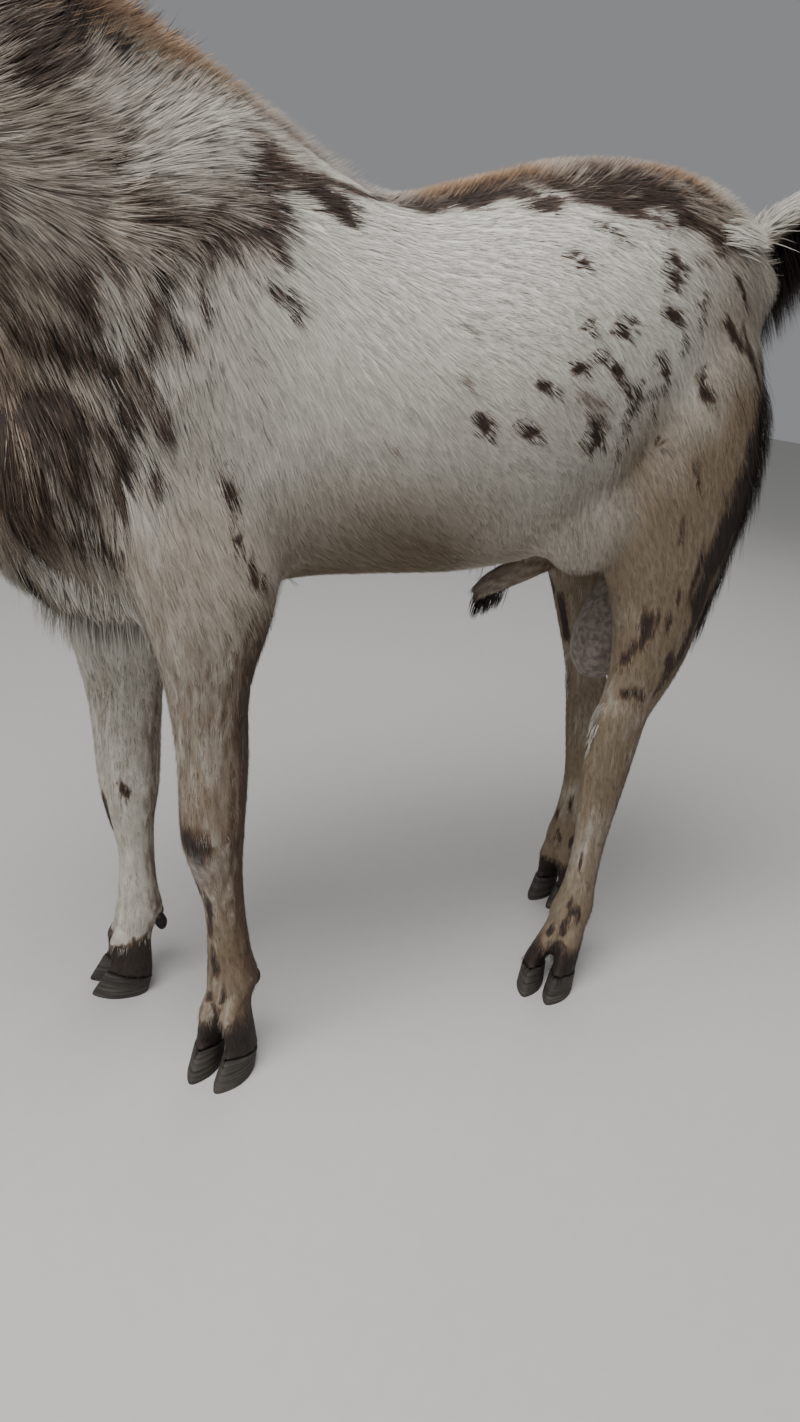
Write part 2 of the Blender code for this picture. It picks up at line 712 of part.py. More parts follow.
def dewclaws(name, leg_piece):
    """Two small horn knobs behind the fetlock."""
    x, y, turn, rows = FEET[name]
    fetlock = rows[-2]
    centre = Vector(((fetlock[1] + fetlock[2]) / 2, fetlock[4], fetlock[0] - 0.010))
    _, ahead, side = foot_frame(x, y, turn)
    made = []
    for hand, label in ((1, "a"), (-1, "b")):
        at = centre - ahead * DEWCLAW_BACK + side * hand * DEWCLAW_ASIDE
        radii = (DEWCLAW_SIZE, DEWCLAW_SIZE, DEWCLAW_SIZE * 1.45)
        knob = triangulate(ball(f"dewclaw_{name}_{label}", at, radii, count=5))
        made.append(cut_clear(knob, leg_piece))
    return made


def legs(body):
    """Part the limbs from the body, and give each its foot."""
    made = []
    for side_name, low, high in (("left", -0.30, -INNER_FACE), ("right", INNER_FACE, 0.30)):
        shift = 0.0 if side_name == "left" else FORE_STEP
        outline = [(x + shift, z) for x, z in FORELEG_REGION]
        made.append(part_off(body, f"foreleg_{side_name}", prism("foreleg region", outline, low, high)))
        outline = HIND_LEFT_REGION if side_name == "left" else HIND_RIGHT_REGION
        limb = part_off(body, f"thigh_{side_name}", prism("hind region", outline, low, high))
        box = [(0.30, -0.10), (0.30, HOCK_CUT), (0.75, HOCK_CUT), (0.75, -0.10)]
        made.append(part_off(limb, f"hind_leg_{side_name}", prism("hock region", box, low - 0.1, high + 0.1)))
        made.append(keep_largest(limb))
    return {piece.name: piece for piece in made}


def eye_ball(name, side):
    """A round eye, deep in its socket."""
    at = head_place() @ Vector((EYE_PLACE.x, EYE_PLACE.y * side, EYE_PLACE.z))
    bm = bmesh.new()
    bmesh.ops.create_uvsphere(bm, u_segments=12, v_segments=7, radius=EYE_RADIUS)
    turn = Matrix.Rotation(math.radians(90), 4, "X")
    bmesh.ops.transform(bm, matrix=Matrix.Translation(at) @ turn, verts=bm.verts)
    mesh = bpy.data.meshes.new(name)
    bm.to_mesh(mesh)
    bm.free()
    return triangulate(add_object(name, mesh))


def tube(name, points, radii, sides, out):
    """A tapered tube through points, whose section starts at a named direction."""
    rings = []
    for i, at in enumerate(points):
        along = (points[min(i + 1, len(points) - 1)] - points[max(i - 1, 0)]).normalized()
        across = (out - along * out.dot(along)).normalized()
        up = along.cross(across)
        rings.append(ring(at, across * radii[i], up * radii[i], up * -radii[i], sides))
    return triangulate(loft(name, rings))


def lids(side):
    """Upper and lower lid, an arched rim each on the eye's own curve."""
    place = head_place()
    eye = Vector((EYE_PLACE.x, EYE_PLACE.y * side, EYE_PLACE.z))
    made = []
    for arch, thick in ((LID_UPPER, 0.0036), (LID_LOWER, 0.0028)):
        points, radii = [], []
        steps = 6
        for k in range(steps + 1):
            share = k / steps
            yaw = math.radians(-58 + 116 * share)
            rise = arch * math.sin(math.pi * share)
            level = math.cos(rise)
            flat = Vector((math.sin(yaw) * level, side * math.cos(yaw) * level, math.sin(rise)))
            tilt = Vector((0, 0, 1)) * (share - 0.5) * 0.006
            points.append(place @ (eye + flat * (EYE_RADIUS + 0.0012) + tilt))
            radii.append(thick * (0.55 + 0.45 * math.sin(math.pi * share)))
        made.append(tube("lid", points, radii, 5, place.to_3x3() @ Vector((0, side, 0))))
    return made


def mouth_groove():
    """The line between the lips, from one corner round the nose to the other."""
    place = head_place()
    points, radii = [], []
    steps = 14
    for k in range(steps + 1):
        angle = math.pi * (k / steps - 0.5)
        forward = math.cos(angle)
        x = MOUTH_CORNER_X + (MOUTH_FRONT_X - MOUTH_CORNER_X) * forward**0.55
        y = MOUTH_HALF_WIDTH * math.sin(angle) * (1.0 + 0.10 * (1 - forward))
        z = MOUTH_Z - 0.004 * forward + 0.006 * (1 - forward) ** 2
        points.append(place @ Vector((x, y, z)))
        radii.append(0.0022)
    return guide(tube("mouth groove", points, radii, 5, Vector((0, 0, 1))))


def nostril(side):
    """A slanting comma-shaped hollow in the nose."""
    place = head_place()
    at = place @ Vector((NOSTRIL.x, NOSTRIL.y * side, NOSTRIL.z))
    turn = place.to_3x3().to_4x4() @ Matrix.Rotation(side * math.radians(-32), 4, "Z")
    turn = turn @ Matrix.Rotation(math.radians(-38), 4, "Y")
    return guide(triangulate(ball("nostril", at, (0.0105, 0.0042, 0.0050), turn, 10, "cutters")))


def dressed_head(head, eyes):
    """Lids, sockets, nostrils and the line of the mouth."""
    union_all(head, [lid for side in (-1, 1) for lid in lids(side)])
    for cutter in (nostril(-1), nostril(1), mouth_groove()):
        boolean(head, cutter, "DIFFERENCE")
        bpy.data.objects.remove(cutter, do_unlink=True)
    for eye in eyes:
        cut_clear(head, eye)
    return head


def horn(name, side):
    """A thick horn, swept back and out, flattened and twisted, with growth rings."""
    base = head_place() @ Vector((0.006, 0.027 * side, 0.020))
    rings = []
    steps = 16
    for k in range(steps + 1):
        s = k / steps
        aside = side * (0.30 * s + 0.52 * s * s)
        at = base + HORN_REACH * Vector((0.50 * s + 0.46 * s * s, aside, 0.95 * s - 0.36 * s * s))
        ahead = Vector((0.50 + 0.92 * s, side * (0.30 + 1.04 * s), 0.95 - 0.72 * s)).normalized()
        radius = HORN_BASE_RADIUS * (1 - s) ** 0.72 + 0.0022
        radius *= 1 + 0.045 * math.sin(2 * math.pi * s * HORN_RINGS) * (1 - s)
        across = Vector((0, side, 0)) - ahead * ahead.y * side
        across.normalize()
        across = Matrix.Rotation(side * HORN_TWIST * s, 3, ahead) @ across
        up = ahead.cross(across)
        rings.append(ring(at, across * radius * 0.68, up * radius, up * -radius, 8))
    return triangulate(loft(name, rings))


def ear_line(s, side):
    """The middle of the ear from its root, at a share of its length."""
    lift = 0.010 * math.sin(math.pi * min(s * 3, 1))
    drop = lift - EAR_LENGTH * (0.10 * s + 0.90 * s * s * (1.5 - 0.5 * s))
    out = 0.070 * (1 - math.exp(-5.0 * s)) + 0.012 * s**3
    return Vector((0.010 * s - 0.036 * s * s, side * out, drop))


def ear(name, side):
    """A long hanging ear, a folded cup at the root and a broad leaf below."""
    root = head_place() @ Vector((0.012, 0.036 * side, 0.000))
    rows, columns = 9, 6
    bm = bmesh.new()
    grid = []
    for k in range(rows + 1):
        s = k / rows
        at = root + ear_line(s, side)
        ahead = (ear_line(s + 0.01, side) - ear_line(s, side)).normalized()
        tip_share = max(s - 0.62, 0)
        width = EAR_WIDTH * (0.52 + 0.95 * s - 0.45 * s**2) * (1 - tip_share**2 * 6.2)
        fold = math.radians(150) * (1 - s) ** 1.6 + math.radians(32)
        radius = width / (2 * fold)
        back = Vector((0.45, side * 0.85, 0.30 * (1 - s)))
        back = (back - ahead * back.dot(ahead)).normalized()
        across = ahead.cross(back)
        row = []
        for j in range(columns + 1):
            angle = fold * (2 * j / columns - 1)
            p = at + back * radius * (math.cos(angle) - 1) + across * radius * math.sin(angle)
            row.append(bm.verts.new(p))
        grid.append(row)
    for low, high in zip(grid, grid[1:]):
        for j in range(columns):
            bm.faces.new((low[j], low[j + 1], high[j + 1], high[j]))
    bmesh.ops.triangulate(bm, faces=bm.faces)
    mesh = bpy.data.meshes.new(name)
    bm.to_mesh(mesh)
    bm.free()
    made = add_object(name, mesh)
    wall = made.modifiers.new("thickness", "SOLIDIFY")
    wall.thickness = EAR_THICKNESS
    wall.offset = 0.0
    return triangulate(apply_modifiers(made))


def surface(thing):
    """A finder of points on a node's skin."""
    bm = bmesh.new()
    bm.from_mesh(thing.data)
    tree = BVHTree.FromBMesh(bm)
    bm.free()
    return tree


def lock(at, normal, lie, size, facing, room=0.0):
    """One flat tapered lock, rooted below the skin and bending along its lie, with room added round it."""
    length, width, rise = size
    across = lie.cross(facing).normalized()
    outward = across.cross(lie)
    rows = []
    for s in LONG_LOCK if length > LONG_FROM else SHORT_LOCK:
        middle = at + (lie * s + outward * rise * (s - 0.45 * s * s)) * length
        if s < 0:
            middle = at - normal * LOCK_SINK - lie * (LOCK_SINK * 0.5 + room)
        taper = 0.35 + 0.65 * (1 - max(s, 0)) ** 0.7
        half = across * (width * 0.5 * taper * (0.8 if s < 0 else 1.0) + 2 * room)
        low = middle - outward * room
        rows.append([low + half, middle + outward * (LOCK_THICKNESS * taper + room * 2), low - half])
    bm = bmesh.new()
    rings = [[bm.verts.new(p) for p in row] for row in rows]
    point = bm.verts.new(at + (lie + outward * rise * 0.55) * length + lie * room * 5)
    for low, high in zip(rings, rings[1:]):
        for i in range(3):
            j = (i + 1) % 3
            bm.faces.new((low[i], low[j], high[j], high[i]))
    for i in range(3):
        bm.faces.new((rings[-1][i], rings[-1][(i + 1) % 3], point))
    bm.faces.new(rings[0][::-1])
    bmesh.ops.recalc_face_normals(bm, faces=bm.faces)
    bmesh.ops.triangulate(bm, faces=bm.faces)
    mesh = bpy.data.meshes.new("lock")
    bm.to_mesh(mesh)
    bm.free()
    return add_object("lock", mesh, "cutters")


def grow(tree, aim, inward, lie, size, hangs, draw):
    """A lock where a ray meets the skin, and its clearance. Its size is length, width and rise."""
    toward = Vector(inward).normalized()
    hit, normal, _, _ = tree.ray_cast(aim - toward * 0.3, toward)
    if hit is None:
        raise ValueError(f"no skin for a lock at {aim}")
    way = Vector(lie) + Vector([draw.uniform(-LOCK_STRAY, LOCK_STRAY) for _ in range(3)])
    facing = normal
    if hangs:
        facing = Vector((math.cos(draw.uniform(0, math.pi)), math.sin(draw.uniform(0, math.pi)), 0))
    else:
        way = way - normal * way.dot(normal)
    size = (size[0] * draw.uniform(0.85, 1.12), size[1] * draw.uniform(0.88, 1.12), size[2])
    way.normalize()
    return lock(hit, normal, way, size, facing), lock(hit, normal, way, size, facing, LOCK_ROOM)


def plant(thing, grown, neighbours):
    """Fuse locks with their node, and cut its neighbours clear of them."""
    union_all(thing, [piece for piece, _ in grown])
    rooms = [room for _, room in grown]
    for other in neighbours:
        combine(other, rooms, "DIFFERENCE")
    for room in rooms:
        bpy.data.objects.remove(room, do_unlink=True)
    return thing


def flipped(rows, side):
    """Rows for one side, from rows written for the right."""
    out = []
    for start, end, inward, lie, *sizes in rows:
        turned = [(x, y * side, z) for x, y, z in (start, end, inward, lie)]
        out.append((*turned, *sizes))
    return out


def long_hair(thing, kind, neighbours, sides=(-1, 1)):
    """Grow a node's rows of locks and fuse them with it."""
    draw = random.Random(LOCK_SEED + len(thing.name))
    tree = surface(thing)
    rows = list(MIDDLE.get(kind, ()))
    for side in sides:
        rows += flipped(BOTH_SIDES.get(kind, ()), side)
    made = []
    for start, end, inward, lie, count, length, width, rise, hangs in rows:
        for k in range(count):
            share = (k + 0.5 + draw.uniform(-0.2, 0.2)) / count
            aim = Vector(start).lerp(Vector(end), share)
            made.append(grow(tree, aim, inward, lie, (length, width, rise), hangs, draw))
    return plant(thing, made, neighbours)


def beard(head, neighbours):
    """Locks hanging under the chin, and the forelock lying between the horns."""
    draw = random.Random(LOCK_SEED)
    tree = surface(head)
    place = head_place()
    turn = place.to_3x3()
    made = []
    for x, y in BEARD_ROOTS:
        lie = (0.10, y * 6, -1)
        size = (BEARD_LENGTH, BEARD_WIDTH, 0.12)
        made.append(grow(tree, place @ Vector((x, y, -0.08)), turn @ Vector((0, 0, 1)), lie, size, 1, draw))
    for x, y in FORELOCK_ROOTS:
        lie = turn @ Vector((-1, y * 22, 0))
        size = (FORELOCK_LENGTH, BEARD_WIDTH * 1.3, 0.22)
        made.append(grow(tree, place @ Vector((x, y, 0.04)), turn @ Vector((0, 0, -1)), lie, size, 0, draw))
    return plant(head, made, neighbours)


def finish(thing, finish_name, roughness=0.8):
    """Give a node its material and smooth shading."""
    thing.data.materials.clear()
    thing.data.materials.append(material(finish_name, roughness))
    thing.data.shade_smooth()
    thing.data.set_sharp_from_angle(angle=math.radians(38))


def main():
    """Build every node."""
    clear_scene()
    body = fused_body()
    triangulate(body)
    limbs = legs(body)
    head = part_off(body, "head", prism("head region", HEAD_REGION, -0.3, 0.3))
    neck_piece = part_off(body, "neck", prism("neck region", NECK_REGION, -0.3, 0.3))
    body.name = "torso"
    torso = keep_largest(body)
    claws = []
    for name in FEET:
        part = limbs["foreleg_" + name[5:]] if name.startswith("fore") else limbs["hind_leg_" + name[5:]]
        claws += claws_and_digits(name, part)
        claws += dewclaws(name, part)
    eyes = [eye_ball("eye_left", -1), eye_ball("eye_right", 1)]
    dressed_head(head, eyes)
    horns = [cut_clear(horn("horn_left", -1), head), cut_clear(horn("horn_right", 1), head)]
    ears = []
    for name, side, spike in (("ear_left", -1, horns[0]), ("ear_right", 1, horns[1])):
        leaf = cut_clear(ear(name, side), head)
        ears.append(cut_clear(leaf, spike))
    thighs = [limbs["thigh_left"], limbs["thigh_right"]]
    tail = cut_clear(triangulate(rod("tail", TAIL, 10)), torso)
    scrotum = cut_clear(triangulate(rod("scrotum", SCROTUM, 11, 1.18)), torso)
    sheath = cut_clear(triangulate(rod("sheath", SHEATH, 10, 0.8)), torso)
    for thigh in thighs:
        cut_clear(scrotum, thigh)
        cut_clear(sheath, thigh)
    cut_clear(sheath, scrotum)
    beard(head, [*horns, neck_piece])
    long_hair(neck_piece, "neck", [torso])
    long_hair(torso, "torso", [neck_piece, limbs["foreleg_left"], limbs["foreleg_right"]])
    long_hair(thighs[0], "thigh", [], (-1,))
    long_hair(thighs[1], "thigh", [], (1,))
    long_hair(tail, "tail", [torso, *thighs])
    long_hair(sheath, "sheath", [])
    hide = [torso, neck_piece, head, *ears, *limbs.values()]
    for thing in hide:
        finish(thing, "coat")
    finish(neck_piece, "neck coat")
    finish(tail, "breech hair")
    for thing in (scrotum, sheath):
        finish(thing, "bare skin", 0.6)
    for thing in claws:
        finish(thing, "hoof horn", 0.55)
    for thing in horns:
        finish(thing, "horn", 0.5)
    for thing in eyes:
        finish(thing, "eye", 0.1)
    for thing in bpy.data.collections["goat"].objects:
        thing.data.transform(Matrix.Translation((BODY_SHIFT, 0, 0)))


main()
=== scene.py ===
"""Looks of a life-size makhi cheeni buck for a museum: skin, coat, eyes, horns, claws and a plain studio.

Metres, +Z up. The goat faces -X and its left side is -Y. Each piece is modelled where the stations say,
and is then moved along X by BODY_SHIFT, into the frame of the solids. Pixels are those of the photograph,
800 wide and 1422 high.
"""

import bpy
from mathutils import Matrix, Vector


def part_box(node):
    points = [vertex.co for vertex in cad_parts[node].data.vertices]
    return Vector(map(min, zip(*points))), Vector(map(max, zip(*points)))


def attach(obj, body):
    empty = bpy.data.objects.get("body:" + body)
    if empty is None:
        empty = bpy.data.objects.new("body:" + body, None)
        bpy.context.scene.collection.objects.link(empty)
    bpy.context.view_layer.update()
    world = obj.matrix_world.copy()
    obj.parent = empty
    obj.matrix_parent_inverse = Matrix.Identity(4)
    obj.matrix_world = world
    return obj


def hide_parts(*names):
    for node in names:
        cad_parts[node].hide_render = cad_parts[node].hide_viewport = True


bl_info = {
    "name": "Makhi cheeni goat",
    "version": (1, 0, 0),
    "blender": (4, 5, 0),
    "location": "View3D > Sidebar > Goat",
    "description": "Builds the skin, the coat and the horny parts of a life-size goat round its solids",
    "category": "Object",
}

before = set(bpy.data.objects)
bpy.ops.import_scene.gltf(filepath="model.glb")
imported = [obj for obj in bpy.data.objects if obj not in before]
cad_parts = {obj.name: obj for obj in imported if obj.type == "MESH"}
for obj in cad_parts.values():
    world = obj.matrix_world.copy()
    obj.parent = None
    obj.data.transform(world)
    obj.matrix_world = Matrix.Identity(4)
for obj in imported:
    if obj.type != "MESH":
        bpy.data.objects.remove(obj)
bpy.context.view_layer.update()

import math
from collections import namedtuple
from itertools import product

import bmesh
import bpy
import numpy as np
from mathutils import Matrix, Vector
from mathutils.bvhtree import BVHTree

BODY = "root"
BODY_SHIFT = -0.1220
SEED = 11
# cells along each side of the random lattice, after which a cloud repeats
LATTICE = 24
# past anything on the goat, for limits that don't count
FAR_OFF = 9.0
# how light the skin is between the tufts, and how many faces it keeps outside the head and ears
SKIN_SHADE = 0.62
TRUNK_FACES = 56000

# the photograph's camera, in the frame that the stations are in
PHOTO_WIDE = 800
PHOTO_HIGH = 1422
FOCAL_PIXELS = 1000.0
SENSOR = 36.0
CAMERA_PLACE = Vector((-0.208, -0.860, 0.700))
CAMERA_YAW = math.radians(28.0)
CAMERA_PITCH = math.radians(21.0)
CAMERA_ROLL = math.radians(4.8)
# nearest and farthest places searched along a ray that misses the skin, and their spacing
RAY_SEARCH = (0.7, 1.5, 0.02)

# the head's own frame
HEAD_PITCH = math.radians(36)
HEAD_PLACE = Vector((-0.288, 0.0, 1.112))
HEAD = Matrix.Translation(HEAD_PLACE) @ Matrix.Rotation(-HEAD_PITCH, 4, "Y")

# the roots of the right ear and the right horn in that frame
EAR_ROOT = (0.012, 0.036, 0.000)
HORN_ROOT = (0.006, 0.027, 0.020)

# the right eye in that frame, and the opening of its lids: half its length, and its reach up and down
EYE_PLACE = Vector((-0.096, 0.0462, 0.013))
EYE_WAY = Vector((-0.28, 1.0, 0.10))
LID_WAY = Vector((-0.978, 0.0, -0.208))
LID_HALF = (0.0148, 0.0082, 0.0068)
LID_POWER = 1.6
# the right nostril's x and z, and the x of the mouth's corners
NOSTRIL_PLACE = (-0.2600, -0.028)
MOUTH_CORNER = -0.176

# claws: the gap between two, how far the coronet leans back, how far each turns out, the heel's height, and
# how far the digit's skin swells past the horn
CLEFT = 0.0036
CLAW_LEAN = 0.17
CLAW_SPREAD = math.radians(5)
HEEL_HEIGHT = 0.018
CORONET_BULGE = 1.06

# a digit at the pastern and at the fetlock: how far out from the leg's middle, half length, half width
DIGIT_LOW = (0.0105, 0.024, 0.0150)
DIGIT_HIGH = (0.0085, 0.020, 0.013)

# where the pieces of the coat part
INNER_FACE = 0.030
FORE_STEP = -0.022
HOCK_CUT = 0.400
TRUNK_MIDDLE = 0.225

# torso: x, top, bottom, half width, height of the widest place
TORSO = (
    (-0.150, 0.700, 0.540, 0.050, 0.610),
    (-0.105, 0.790, 0.462, 0.086, 0.600),
    (-0.040, 0.868, 0.436, 0.108, 0.600),
    (0.030, 0.872, 0.446, 0.119, 0.605),
    (0.100, 0.835, 0.474, 0.129, 0.615),
    (0.185, 0.801, 0.478, 0.142, 0.625),
    (0.275, 0.823, 0.477, 0.148, 0.640),
    (0.365, 0.848, 0.490, 0.138, 0.665),
    (0.450, 0.857, 0.520, 0.118, 0.690),
    (0.530, 0.850, 0.555, 0.096, 0.700),
    (0.590, 0.822, 0.610, 0.062, 0.715),
    (0.612, 0.780, 0.670, 0.030, 0.725),
)

# neck: crest x and z, throat x and z, half width
NECK = (
    (0.060, 0.850, -0.090, 0.480, 0.090),
    (-0.010, 0.884, -0.170, 0.578, 0.096),
    (-0.075, 0.915, -0.212, 0.690, 0.087),
    (-0.132, 0.968, -0.240, 0.785, 0.075),
    (-0.184, 1.030, -0.274, 0.870, 0.065),
    (-0.230, 1.090, -0.312, 0.940, 0.058),
    (-0.262, 1.134, -0.340, 0.985, 0.054),
)
CREST = (
    (-0.255, 1.124), (-0.220, 1.082), (-0.170, 1.018), (-0.110, 0.948), (-0.050, 0.902), (0.010, 0.876),
    (0.060, 0.845), (0.110, 0.815),
)

# muscles of the right side, from the shoulder blade to the flank: middle, half lengths, lean
MUSCLES = (
    ((-0.010, 0.068, 0.700), (0.090, 0.040, 0.140), math.radians(18)),
    ((-0.082, 0.062, 0.585), (0.070, 0.038, 0.085), 0),
    ((0.420, 0.066, 0.792), (0.060, 0.032, 0.036), 0),
    ((0.578, 0.046, 0.762), (0.034, 0.024, 0.034), 0),
    ((0.392, 0.088, 0.548), (0.075, 0.026, 0.062), 0),
)
BREASTBONE = ((-0.100, 0, 0.566), (0.058, 0.062, 0.098))

# skull along its own axis, nose towards -X: x, top, bottom, half width of the brow, of the cheek
SKULL = (
    (0.034, 0.016, -0.066, 0.032, 0.032),
    (0.000, 0.038, -0.094, 0.048, 0.046),
    (-0.043, 0.048, -0.103, 0.058, 0.050),
    (-0.092, 0.052, -0.094, 0.058, 0.045),
    (-0.140, 0.048, -0.085, 0.044, 0.038),
    (-0.188, 0.033, -0.081, 0.035, 0.034),
    (-0.226, 0.012, -0.080, 0.031, 0.032),
    (-0.254, -0.012, -0.076, 0.026, 0.027),
    (-0.270, -0.034, -0.066, 0.016, 0.017),
)
HEAD_BUMPS = (
    ((-0.092, 0.041, 0.018), (0.038, 0.019, 0.026)),
    ((-0.036, 0.034, -0.050), (0.052, 0.018, 0.046)),
    ((-0.247, 0.015, -0.024), (0.020, 0.014, 0.015)),
    ((-0.240, 0.014, -0.050), (0.030, 0.018, 0.013)),
    ((-0.238, 0.006, -0.070), (0.024, 0.016, 0.013)),
    ((-0.262, 0.0, -0.046), (0.015, 0.020, 0.024)),
    ((0.004, 0.026, 0.028), (0.026, 0.022, 0.012)),
    ((0.010, 0.044, 0.002), (0.020, 0.014, 0.020)),
)

# legs: height, front x, back x, half width, y of the middle
FORELEG_LEFT = (
    (0.640, -0.085, 0.060, 0.028, -0.074),
    (0.540, -0.070, 0.084, 0.040, -0.084),
    (0.470, -0.042, 0.077, 0.040, -0.088),
    (0.405, -0.021, 0.057, 0.031, -0.088),
    (0.335, -0.010, 0.058, 0.026, -0.086),
    (0.262, -0.006, 0.056, 0.028, -0.083),
    (0.225, 0.004, 0.056, 0.023, -0.081),
    (0.180, 0.018, 0.060, 0.0185, -0.079),
    (0.130, 0.022, 0.068, 0.020, -0.077),
    (0.098, 0.022, 0.076, 0.025, -0.077),
    (0.070, 0.021, 0.059, 0.018, -0.084),
)
FORELEG_RIGHT = (
    (0.640, -0.090, 0.055, 0.028, 0.074),
    (0.540, -0.085, 0.066, 0.040, 0.084),
    (0.470, -0.080, 0.052, 0.040, 0.088),
    (0.400, -0.068, 0.032, 0.031, 0.088),
    (0.330, -0.053, 0.024, 0.026, 0.086),
    (0.245, -0.046, 0.020, 0.028, 0.084),
    (0.205, -0.038, 0.014, 0.023, 0.083),
    (0.165, -0.028, 0.013, 0.0185, 0.083),
    (0.120, -0.029, 0.016, 0.020, 0.083),
    (0.088, -0.033, 0.021, 0.025, 0.083),
    (0.060, -0.035, 0.001, 0.018, 0.083),
)
HIND_LEG_LEFT = (
    (0.770, 0.440, 0.560, 0.030, -0.048),
    (0.690, 0.400, 0.592, 0.050, -0.062),
    (0.600, 0.385, 0.598, 0.053, -0.074),
    (0.520, 0.405, 0.576, 0.046, -0.083),
    (0.450, 0.438, 0.550, 0.038, -0.087),
    (0.400, 0.448, 0.540, 0.031, -0.086),
    (0.362, 0.446, 0.526, 0.024, -0.085),
    (0.330, 0.438, 0.507, 0.022, -0.084),
    (0.290, 0.435, 0.500, 0.022, -0.082),
    (0.245, 0.435, 0.493, 0.020, -0.081),
    (0.180, 0.440, 0.482, 0.0165, -0.080),
    (0.125, 0.434, 0.476, 0.018, -0.081),
    (0.092, 0.421, 0.474, 0.023, -0.083),
    (0.065, 0.420, 0.456, 0.017, -0.086),
)
HIND_LEG_RIGHT = (
    (0.770, 0.440, 0.560, 0.030, 0.048),
    (0.690, 0.405, 0.594, 0.050, 0.062),
    (0.600, 0.396, 0.606, 0.053, 0.074),
    (0.520, 0.430, 0.604, 0.046, 0.080),
    (0.450, 0.472, 0.598, 0.038, 0.082),
    (0.385, 0.498, 0.584, 0.030, 0.082),
    (0.335, 0.515, 0.572, 0.022, 0.081),
    (0.300, 0.522, 0.582, 0.022, 0.080),
    (0.250, 0.530, 0.576, 0.020, 0.080),
    (0.180, 0.540, 0.577, 0.0165, 0.080),
    (0.125, 0.536, 0.576, 0.018, 0.080),
    (0.092, 0.528, 0.578, 0.023, 0.080),
    (0.065, 0.530, 0.566, 0.017, 0.078),
)

# feet: middle of the sole on the floor, the angle the toes turn from straight ahead, and the leg above
FEET = {
    "fore_left": (0.033, -0.090, math.radians(-42), FORELEG_LEFT),
    "fore_right": (-0.028, 0.083, math.radians(6), FORELEG_RIGHT),
    "hind_left": (0.418, -0.091, math.radians(-38), HIND_LEG_LEFT),
    "hind_right": (0.542, 0.074, math.radians(-22), HIND_LEG_RIGHT),
}

# tail, scrotum and sheath: x, z and radius along each
TAIL = (
    (0.570, 0.768, 0.026),
    (0.610, 0.798, 0.020),
    (0.652, 0.832, 0.016),
    (0.692, 0.856, 0.012),
    (0.724, 0.866, 0.006),
)
SCROTUM = (
    (0.524, 0.505, 0.018),
    (0.518, 0.468, 0.020),
    (0.510, 0.432, 0.028),
    (0.500, 0.395, 0.032),
    (0.491, 0.362, 0.026),
    (0.487, 0.345, 0.010),
)
SHEATH = (
    (0.470, 0.512, 0.022),
    (0.420, 0.492, 0.019),
    (0.380, 0.474, 0.016),
    (0.345, 0.460, 0.014),
    (0.323, 0.447, 0.010),
)

# boxes round small forms: least and most x, distance from the middle plane, and z
EARS = (-FAR_OFF, -0.20, 0.066, FAR_OFF, 0.80, FAR_OFF)
TAIL_PAST_ROOT = (0.612, FAR_OFF, -1, 0.03, 0.775, FAR_OFF)
PURSE = (0.445, 0.56, -1, 0.045, 0.33, 0.475)
SHEATH_BOX = (0.30, 0.44, -1, 0.02, 0.42, 0.486)

# where the solids part the limbs, the head and the neck from the trunk, in the XZ plane
FORELEG_REGION = (
    (-0.26, -0.05), (-0.26, 0.56), (-0.06, 0.575), (0.055, 0.545), (0.095, 0.475), (0.110, 0.400),
    (0.110, -0.05),
)
HIND_REGION = (
    (0.33, -0.05), (0.41, 0.44), (0.378, 0.530), (0.420, 0.620), (0.500, 0.675), (0.72, 0.695),
    (0.72, -0.05),
)
HEAD_REGION = (
    (-0.225, 1.30), (-0.245, 1.10), (-0.312, 0.975), (-0.352, 0.938), (-0.375, 0.78), (-0.65, 0.78),
    (-0.65, 1.30),
)
NECK_REGION = (
    (-0.010, 1.00), (-0.060, 0.82), (-0.115, 0.66), (-0.250, 0.545), (-0.65, 0.545), (-0.65, 1.40),
    (-0.010, 1.40),
)

